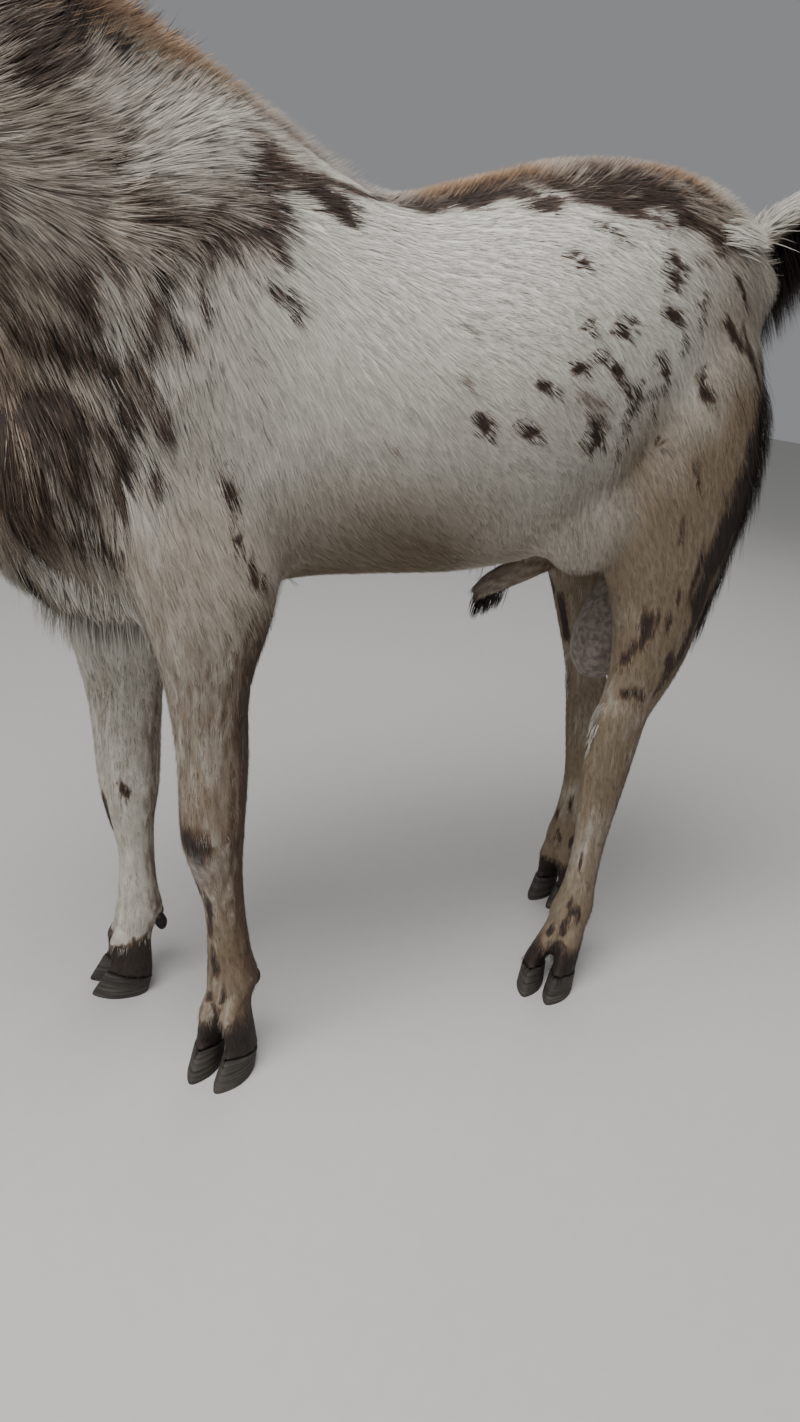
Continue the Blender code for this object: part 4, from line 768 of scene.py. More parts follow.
def horn_material():
    """Horn: dull keratin in year rings, dark grey brown with paler bands."""
    made, tree, shader = new_material("goat_horn")
    own = add(tree, "UVMap", {"uv_map": "growth"}).outputs["UV"]
    parts = add(tree, "SeparateXYZ", None, {"Vector": own})
    fine = add(tree, "CombineXYZ", None, {"X": parts.outputs["X"], "Y": parts.outputs["Y"]})
    # fibres about 1 mm apart round the horn and long along it
    stretch = add(tree, "VectorMath", {"operation": "MULTIPLY"}, {0: fine.outputs[0], 1: (90.0, 6.0, 1.0)})
    fibre = add(tree, "TexNoise", None, {"Vector": stretch.outputs[0], "Scale": 1.0, "Detail": 4.0})
    ringed = add(tree, "VectorMath", {"operation": "MULTIPLY"}, {0: fine.outputs[0], 1: (2.0, 46.0, 1.0)})
    band = add(tree, "TexNoise", None, {"Vector": ringed.outputs[0], "Scale": 1.0, "Detail": 3.0})
    tone = add(tree, "ValToRGB", None, {"Fac": band.outputs["Fac"]},
               ((0.32, paint("#2c241d")), (0.6, paint("#5b4a39")), (0.75, paint("#7c6a54"))))
    worn = add(tree, "Mix", MULTIPLY,
               {FACTOR: 0.6, FIRST: tone.outputs["Color"], SECOND: fibre.outputs["Fac"]})
    high = add(tree, "Math", {"operation": "ADD"}, {0: fibre.outputs["Fac"], 1: band.outputs["Fac"]})
    bump = add(tree, "Bump", None, {"Height": high.outputs[0], "Strength": 0.6, "Distance": 0.0012})
    feed(tree, shader, {"Base Color": worn.outputs[RESULT], "Normal": bump.outputs["Normal"],
                        "Roughness": 0.46})
    return made


def claw_material():
    """Hoof horn: dull grey, laid down in level growth lines."""
    return hoof_material("cloven_hoof_horn", ("#37332f", "#4a4540", "#5d5750"))


def dewclaw_material():
    """The same horn on the dewclaws, which don't touch the floor and stay dark."""
    return hoof_material("dewclaw_horn", ("#1b1715", "#2a2421", "#3a322d"))


def hoof_material(name, tones):
    """Horn in level growth lines, in three tones from dark to pale."""
    made, tree, shader = new_material(name)
    place = add(tree, "TexCoord").outputs["Object"]
    # growth lines about 2.5 mm apart up the wall
    level = add(tree, "VectorMath", {"operation": "MULTIPLY"}, {0: place, 1: (26.0, 26.0, 400.0)})
    line = add(tree, "TexNoise", None, {"Vector": level.outputs[0], "Scale": 1.0, "Detail": 3.0})
    upright = add(tree, "VectorMath", {"operation": "MULTIPLY"}, {0: place, 1: (900.0, 900.0, 60.0)})
    fibre = add(tree, "TexNoise", None, {"Vector": upright.outputs[0], "Scale": 1.0, "Detail": 2.0})
    tone = add(tree, "ValToRGB", None, {"Fac": line.outputs["Fac"]},
               [(stop, paint(tone)) for stop, tone in zip((0.34, 0.54, 0.70), tones)])
    worn = add(tree, "Mix", MULTIPLY,
               {FACTOR: 0.35, FIRST: tone.outputs["Color"], SECOND: fibre.outputs["Fac"]})
    high = add(tree, "Math", {"operation": "MULTIPLY_ADD"},
               {0: fibre.outputs["Fac"], 1: 0.5, 2: line.outputs["Fac"]})
    bump = add(tree, "Bump", None, {"Height": high.outputs[0], "Strength": 0.55, "Distance": 0.0010})
    feed(tree, shader, {"Base Color": worn.outputs[RESULT], "Normal": bump.outputs["Normal"],
                        "Roughness": 0.68, "Specular IOR Level": 0.25})
    return made


MAKERS = {
    "goat_hair": hair_material,
    "goat_hide": skin_material,
    "goat_eye": eye_material,
    "goat_horn": horn_material,
    "cloven_hoof_horn": claw_material,
    "dewclaw_horn": dewclaw_material,
}


def clothe(mesh, name):
    """Give a mesh the material of that name, which is made once."""
    mesh.materials.append(bpy.data.materials.get(name) or MAKERS[name]())


def show(name, data):
    """A new object in the scene."""
    thing = bpy.data.objects.new(name, data)
    bpy.context.scene.collection.objects.link(thing)
    return thing


def mesh_of(bm, name):
    """What was modelled, as a mesh."""
    mesh = bpy.data.meshes.new(name)
    bm.to_mesh(mesh)
    bm.free()
    return mesh


def add_piece(name, mesh, slot, *nodes):
    """Put a finished mesh in the scene as a piece on the goat's body, in place of the nodes named."""
    thing = show(name, mesh)
    mesh.transform(Matrix.Translation((BODY_SHIFT, 0, 0)))
    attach(thing, BODY)
    if nodes:
        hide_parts(*nodes)


def add_hard_piece(bm, name, slot, material, node, crease=None):
    """Put a hard form in the scene in its node's place, with edges sharp past an angle if one is given."""
    mesh = mesh_of(bm, name)
    mesh.shade_smooth()
    if crease:
        mesh.set_sharp_from_angle(angle=crease)
    clothe(mesh, material)
    add_piece(name, mesh, slot, node)


def on_side(place, side):
    """A place or direction of the right side, for side 1, or the same on the left, for side -1."""
    return Vector((place[0], place[1] * side, place[2]))


def smooth_rows(rows, steps):
    """Rows between given stations on a Catmull-Rom curve, so many to each span."""
    table = np.array(rows, float)
    padded = np.vstack([2 * table[0] - table[1], table, 2 * table[-1] - table[-2]])
    out = []
    for i in range(len(table) - 1):
        p0, p1, p2, p3 = padded[i : i + 4]
        for k in range(steps):
            t = k / steps
            curve = 2 * p1 + (p2 - p0) * t + (2 * p0 - 5 * p1 + 4 * p2 - p3) * t**2
            out.append(0.5 * (curve + (3 * p1 - p0 - 3 * p2 + p3) * t**3))
    out.append(table[-1])
    return out


def oval(centre, across, up, down, count, fullness=1.0):
    """Points round an oval whose upper and lower halves may differ."""
    points = []
    for i in range(count):
        angle = 2 * math.pi * i / count
        c, s = math.cos(angle), math.sin(angle)
        wide = math.copysign(abs(c) ** fullness, c)
        high = math.copysign(abs(s) ** fullness, s)
        points.append(centre + across * wide + (up * high if s >= 0 else down * -high))
    return points


def loft(bm, rings):
    """Bridge rings of points one to the next and close both ends."""
    loops = []
    for points in rings:
        verts = bmesh.ops.create_circle(bm, segments=len(points), radius=1.0)["verts"]
        for v, p in zip(verts, points):
            v.co = p
        loops.append(list({edge for v in verts for edge in v.link_edges}))
    for low, high in zip(loops, loops[1:]):
        bmesh.ops.bridge_loops(bm, edges=low + high)
    for loop in (loops[0], loops[-1]):
        bmesh.ops.contextual_create(bm, geom=loop)


def ball(bm, centre, radii, turn=Matrix()):
    """An ellipsoid with named half lengths, turned before it is placed."""
    place = Matrix.Translation(centre) @ turn @ Matrix.Diagonal((*radii, 1.0))
    bmesh.ops.create_uvsphere(bm, u_segments=20, v_segments=10, radius=1.0, matrix=place)


def rod(bm, rows, count, side=1.0):
    """A round tapered form along rows of x, z and radius in the middle plane."""
    rings = []
    rows = smooth_rows(rows, 4)
    for i, (x, z, radius) in enumerate(rows):
        before = rows[max(i - 1, 0)]
        after = rows[min(i + 1, len(rows) - 1)]
        along = Vector((after[0] - before[0], 0, after[1] - before[1])).normalized()
        across = Vector((0, 1, 0))
        up = across.cross(along)
        rings.append(oval(Vector((x, 0, z)), across * radius * side, up * radius, up * -radius, count))
    loft(bm, rings)


def trunk_forms(bm):
    """Torso, neck, the muscles that shape them, and the low core of the crest."""
    rings = []
    for x, top, low, wide, middle in smooth_rows(TORSO, 3):
        centre = Vector((x, 0, middle))
        rings.append(oval(centre, Vector((0, wide, 0)), Vector((0, 0, top - middle)),
                          Vector((0, 0, low - middle)), 40, 0.92))
    loft(bm, rings)
    rings = []
    for cx, cz, tx, tz, wide in smooth_rows(NECK, 3):
        crest, throat = Vector((cx, 0, cz)), Vector((tx, 0, tz))
        centre = crest.lerp(throat, 0.54)
        rings.append(oval(centre, Vector((0, wide, 0)), crest - centre, throat - centre, 32))
    loft(bm, rings)
    for side in (-1, 1):
        for at, radii, lean in MUSCLES:
            ball(bm, on_side(at, side), radii, Matrix.Rotation(lean, 4, "Y"))
    ball(bm, Vector(BREASTBONE[0]), BREASTBONE[1])
    core = (Vector((0, 0.010, 0)), Vector((0.006, 0, 0.014)), Vector((0, 0, -0.025)), 12)
    loft(bm, [oval(Vector((x, 0, z)), *core) for x, z in CREST])


def head_forms(bm):
    """Skull with the arched nose, and the forms that stand on it."""
    rings = []
    for x, top, low, brow, cheek in smooth_rows(SKULL, 3):
        points = []
        middle = low + 0.55 * (top - low)
        for p in oval(Vector((x, 0, middle)), Vector((0, 1, 0)), Vector((0, 0, top - middle)),
                      Vector((0, 0, low - middle)), 32, 0.86):
            share = (p.z - low) / (top - low)
            wide = cheek + (brow - cheek) * share
            if share < 0.5:
                wide *= 0.62 + 0.76 * share
            points.append(HEAD @ Vector((x, p.y * wide, p.z)))
        rings.append(points)
    loft(bm, rings)
    tilt = HEAD.to_3x3().to_4x4()
    for side in (-1, 1):
        for at, radii in HEAD_BUMPS:
            ball(bm, HEAD @ on_side(at, side), radii, tilt)


def leg_form(bm, rows):
    """One leg from inside the body to the pastern."""
    rings = []
    for z, front, back, wide, y in smooth_rows(rows, 3):
        centre = Vector(((front + back) / 2, y, z))
        half = Vector(((back - front) / 2, 0, 0))
        rings.append(oval(centre, half, Vector((0, wide, 0)), Vector((0, -wide, 0)), 24, 0.95))
    loft(bm, rings)


def foot_ways(turn):
    """The foot's forward and sideways directions on the floor."""
    ahead = Vector((-math.cos(turn), math.sin(turn), 0.0))
    return ahead, Vector((0, 0, 1)).cross(ahead)


def claw_ring(foot, hand, share, sides, grow=1.0, lift=0.0):
    """One level of a claw: share 0 is the sole and 1 the coronet."""
    sizes = bpy.context.scene.goat_body
    x, y, turn, _ = FEET[foot]
    ahead, side = foot_ways(turn + hand * CLAW_SPREAD)
    middle = Vector((x, y, 0)) + side * hand * (sizes.claw_width * 0.5 + CLEFT * 0.5)
    middle = middle - ahead * (CLAW_LEAN * share * sizes.claw_length)
    half_long = sizes.claw_length * 0.5 * (1 - 0.20 * share)
    half_wide = sizes.claw_width * 0.5 * (1 - 0.10 * share)
    points = []
    for i in range(sides):
        angle = 2 * math.pi * i / sides
        c, s = math.cos(angle), math.sin(angle)
        reach = math.copysign(abs(c) ** 0.85, c) * grow
        narrow = (1 - 0.42 * max(c, 0.0) ** 1.5) * grow
        height = share * (HEEL_HEIGHT + (sizes.claw_height - HEEL_HEIGHT) * (0.5 + 0.5 * reach)) + lift
        across = side * s * narrow * half_wide
        points.append(middle + ahead * reach * half_long + across + Vector((0, 0, height)))
    return points


def digit_forms(bm, foot):
    """The two digits between the pastern and the claws."""
    _, _, turn, rows = FEET[foot]
    joint = Vector(((rows[-1][1] + rows[-1][2]) / 2, rows[-1][4], rows[-1][0]))
    fetlock = Vector(((rows[-2][1] + rows[-2][2]) / 2, rows[-2][4], rows[-2][0]))
    ahead, side = foot_ways(turn)
    for hand in (1, -1):
        coronet = claw_ring(foot, hand, 1.0, 24, CORONET_BULGE, 0.0003)
        above = claw_ring(foot, hand, 1.3, 24, CORONET_BULGE)
        knuckles = [
            oval(middle + side * hand * out, ahead * long, side * wide, side * -wide, 24)
            for middle, (out, long, wide) in ((joint, DIGIT_LOW), (fetlock, DIGIT_HIGH))
        ]
        loft(bm, [coronet, above, *knuckles])


def ear_line(s, side):
    """The middle of the ear from its root, at a share of its length."""
    lift = 0.010 * math.sin(math.pi * min(s * 3, 1))
    drop = lift - bpy.context.scene.goat_body.ear_length * (0.10 * s + 0.90 * s * s * (1.5 - 0.5 * s))
    out = 0.070 * (1 - math.exp(-5.0 * s)) + 0.012 * s**3
    return Vector((0.010 * s - 0.036 * s * s, side * out, drop))


def ear_form(bm, side):
    """A long hanging ear, a folded cup at the root and a broad leaf below."""
    sizes = bpy.context.scene.goat_body
    root = HEAD @ on_side(EAR_ROOT, side)
    made = bmesh.ops.create_grid(bm, x_segments=34, y_segments=16, size=1.0)["verts"]
    for v in made:
        s = (v.co.x + 1) / 2
        at = root + ear_line(s, side)
        ahead = (ear_line(s + 0.01, side) - ear_line(s, side)).normalized()
        tip_share = max(s - 0.62, 0)
        width = sizes.ear_width * (0.52 + 0.95 * s - 0.45 * s**2) * (1 - tip_share**2 * 6.2)
        fold = math.radians(150) * (1 - s) ** 1.6 + math.radians(32)
        radius = width / (2 * fold)
        back = Vector((0.45, side * 0.85, 0.30 * (1 - s)))
        back = (back - ahead * back.dot(ahead)).normalized()
        across = ahead.cross(back)
        angle = fold * v.co.y
        wave = 0.0022 * math.sin(9 * s + 2 * v.co.y) * abs(v.co.y) ** 2
        v.co = at + back * (radius * (math.cos(angle) - 1) + wave) + across * radius * math.sin(angle)
    faces = list({face for v in made for face in v.link_faces})
    bmesh.ops.recalc_face_normals(bm, faces=faces)
    bmesh.ops.solidify(bm, geom=faces, thickness=sizes.ear_thickness)


def fused_skin():
    """Every form of flesh fused to one mesh and softened, mostly on the trunk."""
    sizes = bpy.context.scene.goat_body
    bm = bmesh.new()
    trunk_forms(bm)
    head_forms(bm)
    for foot, (_, _, _, rows) in FEET.items():
        leg_form(bm, rows)
        digit_forms(bm, foot)
    for side in (-1, 1):
        ear_form(bm, side)
    rod(bm, TAIL, 20)
    rod(bm, SCROTUM, 24, 1.18)
    rod(bm, SHEATH, 20, 0.8)
    bmesh.ops.recalc_face_normals(bm, faces=bm.faces)
    thing = show("skin", mesh_of(bm, "skin"))
    fuse = thing.modifiers.new("fuse", "REMESH")
    fuse.mode = "VOXEL"
    fuse.voxel_size = sizes.voxel
    apply_modifiers(thing)
    places = read_places(thing.data)
    trunk_share = np.clip((places[:, 2] - 0.42) / 0.12, 0, 1)
    head_share = np.clip((HEAD_PLACE.x + 0.07 - places[:, 0]) / 0.06, 0, 1)
    soft = np.maximum(0.06 + 0.94 * trunk_share - 0.72 * head_share, 0.06)
    for box in (EARS, TAIL_PAST_ROOT, PURSE, SHEATH_BOX):
        soft[in_box(places, box)] = 0.05
    weigh(thing, "soft", soft)
    relax = thing.modifiers.new("soften", "SMOOTH")
    relax.factor = 0.5
    relax.iterations = int(110 * (0.0035 / sizes.voxel) ** 2)
    relax.vertex_group = "soft"
    apply_modifiers(thing)
    return thing


def apply_modifiers(thing):
    """Keep the evaluated mesh and drop the modifiers."""
    bpy.context.view_layer.update()
    shown = thing.evaluated_get(bpy.context.evaluated_depsgraph_get())
    mesh = bpy.data.meshes.new_from_object(shown)
    thing.modifiers.clear()
    thing.data = mesh


def weigh(thing, name, values):
    """A vertex group with a weight for each vertex, in steps of a twentieth."""
    group = thing.vertex_groups.new(name=name)
    levels = np.round(values * 20).astype(int)
    for level in np.unique(levels):
        group.add(np.flatnonzero(levels == level).tolist(), level / 20, "REPLACE")


def read_rows(parts, name, wide=3, kind=np.float32):
    """A property of a mesh's parts, as rows so many numbers wide."""
    rows = np.zeros(len(parts) * wide, kind)
    parts.foreach_get(name, rows)
    return rows.reshape(-1, wide)


def read_places(mesh):
    """A mesh's places."""
    return read_rows(mesh.vertices, "co").astype(float)


def read_normals(mesh):
    """A mesh's normals at its places."""
    return read_rows(mesh.vertices, "normal").astype(float)


def triangles_of(mesh):
    """A mesh's triangles as rows of three vertex numbers."""
    mesh.calc_loop_triangles()
    return read_rows(mesh.loop_triangles, "vertices", kind=np.int32)


def finder(places, triangles):
    """A finder of the nearest place on triangles."""
    return BVHTree.FromPolygons([Vector(p) for p in places], [tuple(int(i) for i in r) for r in triangles])


def write_places(mesh, places):
    """Give a mesh its new places."""
    mesh.vertices.foreach_set("co", places.astype(np.float32).ravel())
    mesh.update()


def in_head_frame(places):
    """Places in the head's own frame."""
    back = np.array(HEAD.inverted())
    return places @ back[:3, :3].T + back[:3, 3]


def from_eye(head):
    """Places in the head's frame, measured from the middle of the nearer eye as if both were on the right."""
    return np.column_stack([head[:, 0], np.abs(head[:, 1]), head[:, 2]]) - np.array(EYE_PLACE)


def in_box(places, box):
    """Which places lie in a box on either side of the middle plane."""
    folded = np.column_stack([places[:, 0], np.abs(places[:, 1]), places[:, 2]])
    return ((folded > box[0::2]) & (folded < box[1::2])).all(axis=1)


def inside(places, outline):
    """Which places lie inside an outline in the XZ plane."""
    x, z = places[:, 0], places[:, 2]
    hits = np.zeros(len(places), bool)
    for (x1, z1), (x2, z2) in zip(outline, outline[1:] + outline[:1]):
        if z1 == z2:
            continue
        crosses = (z1 > z) != (z2 > z)
        hits ^= crosses & (x < (x2 - x1) * (z - z1) / (z2 - z1) + x1)
    return hits


def step(low, high, value):
    """Smooth step from 0 at low to 1 at high."""
    t = np.clip((value - low) / (high - low), 0.0, 1.0)
    return t * t * (3 - 2 * t)


def unit(rows):
    """Rows of three at length one."""
    return rows / np.maximum(np.linalg.norm(rows, axis=-1), 1e-9)[..., None]


def cloud(places, size, seed):
    """Soft random values from 0 to 1 that change over a real size, the same each run."""
    lattice = np.random.default_rng(SEED + seed).random((LATTICE, LATTICE, LATTICE))
    at = places / size
    cell = np.floor(at).astype(int)
    part = at - cell
    part = part * part * (3 - 2 * part)
    out = np.zeros(len(places))
    for corner in product((0, 1), repeat=3):
        share = np.prod(np.where(corner, part, 1 - part), axis=1)
        index = (cell + corner) % LATTICE
        out += share * lattice[index[:, 0], index[:, 1], index[:, 2]]
    return out


def comb_guides():
    """Every guide of the combing in the goat's own frame."""
    turn = HEAD.to_3x3()
    rows = list(COMBED)
    for at, lie, *sizes in COMBED_HEAD:
        rows.append((HEAD @ Vector(at), turn @ Vector(lie), *sizes))
    at = np.array([tuple(row[0]) for row in rows])
    lie = np.array([tuple(Vector(row[1]).normalized()) for row in rows])
    sizes = np.array([row[2:] for row in rows]) / 1000
    return at, lie, sizes


def combed(places, normals):
    """The hair's lie along the skin, and its length, rise and width, at each place."""
    guides, lies, sizes = comb_guides()
    mirrored = places.copy()
    side = np.where(places[:, 1] > 0, -1.0, 1.0)
    mirrored[:, 1] = -np.abs(places[:, 1])
    lie = np.zeros_like(places)
    size = np.zeros((len(places), 2))
    total = np.zeros(len(places))
    for guide, way, row in zip(guides, lies, sizes):
        weight = 1.0 / (np.sum((mirrored - guide) ** 2, axis=1) + COMB_SOFTNESS) ** COMB_POWER
        lie += weight[:, None] * way
        size += weight[:, None] * row
        total += weight
    lie /= total[:, None]
    size /= total[:, None]
    lie[:, 1] *= side
    # slow swirls, as the coat of the neck and the shoulder has
    swirl = 0.16 + 0.34 * step(-0.02, -0.14, places[:, 0])
    for axis in range(3):
        lie[:, axis] += (cloud(places, 0.055, axis) - 0.5) * 2 * swirl
    lie -= normals * np.sum(lie * normals, axis=1)[:, None]
    width = TUFT_LEAST / 1000 + TUFT_SHARE * size[:, 0]
    return unit(lie), size[:, 0], size[:, 1], width


def camera_axes():
    """The camera's rightward, downward and forward directions."""
    flat = Vector((math.sin(CAMERA_YAW), math.cos(CAMERA_YAW), 0))
    right = Vector((math.cos(CAMERA_YAW), -math.sin(CAMERA_YAW), 0))
    up = Vector((0, 0, 1))
    ahead = flat * math.cos(CAMERA_PITCH) - up * math.sin(CAMERA_PITCH)
    down = -up * math.cos(CAMERA_PITCH) - flat * math.sin(CAMERA_PITCH)
    across = right * math.cos(CAMERA_ROLL) - down * math.sin(CAMERA_ROLL)
    low = right * math.sin(CAMERA_ROLL) + down * math.cos(CAMERA_ROLL)
    return across, low, ahead


def on_skin(tree, u, v):
    """Where the photograph's pixel falls on the skin, or the nearest skin to its ray."""
    across, low, ahead = camera_axes()
    way = ahead + across * (u - PHOTO_WIDE / 2) / FOCAL_PIXELS + low * (v - PHOTO_HIGH / 2) / FOCAL_PIXELS
    hit = tree.ray_cast(CAMERA_PLACE, way.normalized())[0]
    if hit is None:
        along = (CAMERA_PLACE + way.normalized() * d for d in np.arange(*RAY_SEARCH))
        hit = tree.find_nearest(min(along, key=lambda p: tree.find_nearest(p)[3]))[0]
    return hit


def skin_tree(thing):
    """A finder of points on the skin, in the stations' frame."""
    bm = bmesh.new()
    bm.from_mesh(thing.data)
    tree = BVHTree.FromBMesh(bm)
    bm.free()
    return tree


def strokes(tree):
    """Every mark as a stroke on the skin: both ends, half its width and its darkness, on both sides."""
    made = []
    draw = np.random.default_rng(SEED)
    for group, (darkness, mirrored, rows) in MARKS.items():
        stray = 0.004 if group in CLOSE_GROUPS else 0.021
        for u1, v1, u2, v2, half in rows:
            a, b = on_skin(tree, u1, v1), on_skin(tree, u2, v2)
            made.append((*a, *b, half / 1000, darkness))
            if mirrored:
                shift = Vector((draw.uniform(-stray, stray), 0, draw.uniform(-stray, stray)))
                ends = [tree.find_nearest(Vector((p.x, -p.y, p.z)) + shift)[0] for p in (a, b)]
                made.append((*ends[0], *ends[1], half / 1000 * draw.uniform(0.75, 1.2), darkness))
    return np.array(made)


def stroke_cover(places, marks):
    """How dark and how bare the strokes make each place, from 0 to 1, with ragged edges."""
    ragged = 0.50 * (cloud(places, 0.006, 5) - 0.5) + 0.34 * (cloud(places, 0.0022, 6) - 0.5)
    dark, bare = np.zeros(len(places)), np.zeros(len(places))
    for row in marks:
        a, b, half, darkness = row[:3], row[3:6], row[6], row[7]
        feather = min(1.25 - darkness, 0.8)
        near = np.flatnonzero(np.sum((places - (a + b) / 2) ** 2, axis=1)
                              < (np.linalg.norm(b - a) / 2 + half * 2.4) ** 2)
        if not len(near):
            continue
        local = places[near] - a
        span = b - a
        share = np.clip(local @ span / max(span @ span, 1e-9), 0, 1)
        away = np.linalg.norm(local - share[:, None] * span, axis=1) / half
        cover = abs(darkness) * step(1 + feather, 1 - feather, away + ragged[near])
        into = dark if darkness > 0 else bare
        into[near] = np.maximum(into[near], cover)
    return dark, bare


def markings(places, normals, marks):
    """Dark, warm, and soil and painted shade shares of the coat at each place, and how bare the skin is."""
    x, y, z = places.T
    side = np.abs(y)
    head = in_head_frame(places)
    on_head = inside(places, HEAD_REGION)
    ear = in_box(places, EARS)
    dark, callus = stroke_cover(places, marks)

    # pale hairs run through the dark of the neck and of the back, along their lie
    streaky = np.stack([(x + 0.35 * z) / 0.009, y / 0.009, (z - 0.35 * x) / 0.030], axis=1)
    streak = 0.6 * cloud(streaky, 1.0, 7) + 0.4 * cloud(streaky * 2.3, 1.0, 8)
    maned = np.maximum(step(0.02, -0.06, x), step(0.075, 0.045, side) * step(0.70, 0.76, z))
    dark *= 1 - 0.60 * maned * step(0.50, 0.72, streak)

    # brown roan with pale streaks on the neck in front of the photograph's edge, and on the throat
    wide = np.stack([x / 0.022, y / 0.022, z / 0.046], axis=1)
    fleck = 0.55 * cloud(wide, 1.0, 17) + 0.45 * cloud(wide * 2.7, 1.0, 18)
    front = step(-0.08, -0.18, x + 0.10 * (z - 0.80)) * step(0.48, 0.54, z)
    mixed = (0.18 + 0.50 * step(0.62, 0.40, fleck)) * (1 - 0.6 * step(0.45, 0.7, streak))
    dark = np.maximum(dark, front * mixed)

    # brown band under the ridge, with a ragged lower edge and pale hairs in it
    ginger, root = ridge_run(x)
    ragged = 0.024 * (cloud(places, 0.022, 22) - 0.5) + 0.010 * (cloud(places, 0.006, 23) - 0.5)
    reach = np.interp(x, *np.array(BAND_REACH).T)
    band = step(1.16, 0.92, (side + ragged) / reach) * (z > 0.74) * step(0.12, 0.16, x)
    mottle = cloud(np.stack([x / 0.020, y / 0.030, z / 0.030], axis=1), 1.0, 29)
    band *= 1.60 - 0.60 * step(0.45, 0.75, streak) - 0.80 * step(0.55, 0.70, mottle)
    dark = np.maximum(dark, band * root)

    # head: chocolate with a pale blaze, muzzle and flecks
    face_fleck = 0.65 * cloud(places, 0.0065, 9) + 0.35 * cloud(places, 0.018, 15)
    blaze = step(0.024, 0.010, np.abs(head[:, 1]) + 0.012 * (cloud(places, 0.012, 14) - 0.5))
    blaze *= step(0.0, 0.02, head[:, 2] + 0.3 * (head[:, 0] + 0.25)) * step(-0.02, -0.06, head[:, 0])
    muzzle = step(-0.190, -0.240, head[:, 0] + 0.03 * (cloud(places, 0.015, 24) - 0.5))
    pale = np.clip(np.maximum(blaze * 0.8, muzzle * 0.72) + 0.7 * step(0.68, 0.78, face_fleck), 0, 1)
    roan_face = 0.50 + 0.26 * cloud(places, 0.03, 19)
    dark = np.where(on_head & ~ear, roan_face * (1 - pale), dark)
    ear_fleck = 0.65 * cloud(places, 0.0048, 10) + 0.35 * cloud(places, 0.014, 16)
    dark = np.where(ear, 0.64 * (1 - 0.70 * step(0.60, 0.72, ear_fleck + 0.04 * step(0.95, 0.84, z))), dark)

    # tail: white above, black below
    tail_line = 0.768 + (x - 0.570) * 0.72
    under = step(0.004, -0.006, z - tail_line)
    dark = np.where(in_box(places, TAIL_PAST_ROOT), 0.95 * under, dark)

    # pasterns and coronets are chocolate
    ankle = step(0.070, 0.056, z + 0.024 * (cloud(places, 0.009, 11) - 0.5))
    dark = np.maximum(dark, ankle * 0.97)

    # the backs of the legs are brown and their hair is speckled; the side of the legs turned from the light
    # is darker too, as painted shade
    fine = cloud(places, 0.004, 25)
    legs = step(0.50, 0.42, z)
    rear = step(-0.15, 0.70, normals[:, 0] + 0.3 * (fine - 0.5)) * step(0.56, 0.44, z)
    # the near foreleg is brown grey, with painted shade added on its back
    near_fore = step(0.56, 0.44, z) * (y < 0) * step(0.13, 0.09, x)
    dark = np.maximum(dark, rear * (0.28 + 0.26 * fine))
    dark = np.maximum(dark, near_fore * (0.14 + 0.24 * fine + 0.32 * rear))

    # the sheath is grey brown
    dark = np.where(in_box(places, SHEATH_BOX), 0.24 + 0.2 * fine, dark)

    # the ridge is ginger in runs, and the throat is reddish
    ridge = step(0.036, 0.012, side) * step(0.0, 0.5, normals[:, 2] + 0.3)
    warm = ridge * ginger * (z > 0.76) * (0.55 + 0.45 * cloud(places, 0.03, 12))
    warm = np.where(on_head, 0.12, warm)
    rust = step(-0.09, -0.16, x) * step(0.76, 0.66, z) * step(0.50, 0.56, z)
    warm = np.maximum(warm, 0.40 * rust)

    # low parts are beige: partly soil, and partly painted shade where less light reaches the belly and the
    # legs
    soil_and_shade = 0.58 * step(0.74, 0.50, z) + 0.22 * step(0.46, 0.34, z)
    # painted shade and soil behind the elbow, low on the flank
    soil_and_shade += 0.50 * step(0.14, 0.03, np.abs(x - 0.15)) * step(0.61, 0.51, z)
    # painted shade: the rump and the thighs are darker where they turn from the light
    soil_and_shade = np.maximum(soil_and_shade, (0.62 + 0.38 * step(0.78, 0.64, z)) * step(0.40, 0.53, x))
    # painted shade over the neck and the shoulder
    soil_and_shade = np.maximum(soil_and_shade, 0.42 * step(0.12, 0.00, x))
    soil_and_shade = np.maximum(soil_and_shade, 0.95 * step(0.34, 0.42, x) * step(0.72, 0.60, z))
    # less painted shade on the upper far foreleg, where the light falls on it
    soil_and_shade *= 1 - 0.70 * step(0.60, 0.50, z) * (y > 0) * step(0.13, 0.09, x)
    soil_and_shade *= 0.7 + 0.6 * cloud(places, 0.05, 13)
    soil_and_shade += 0.60 * legs * (fine - 0.42)
    soil_and_shade += 0.30 * step(0.45, 0.70, streak) * maned
    soil_and_shade = np.where(callus > 0.1, 1.0, np.clip(soil_and_shade, 0, 1))

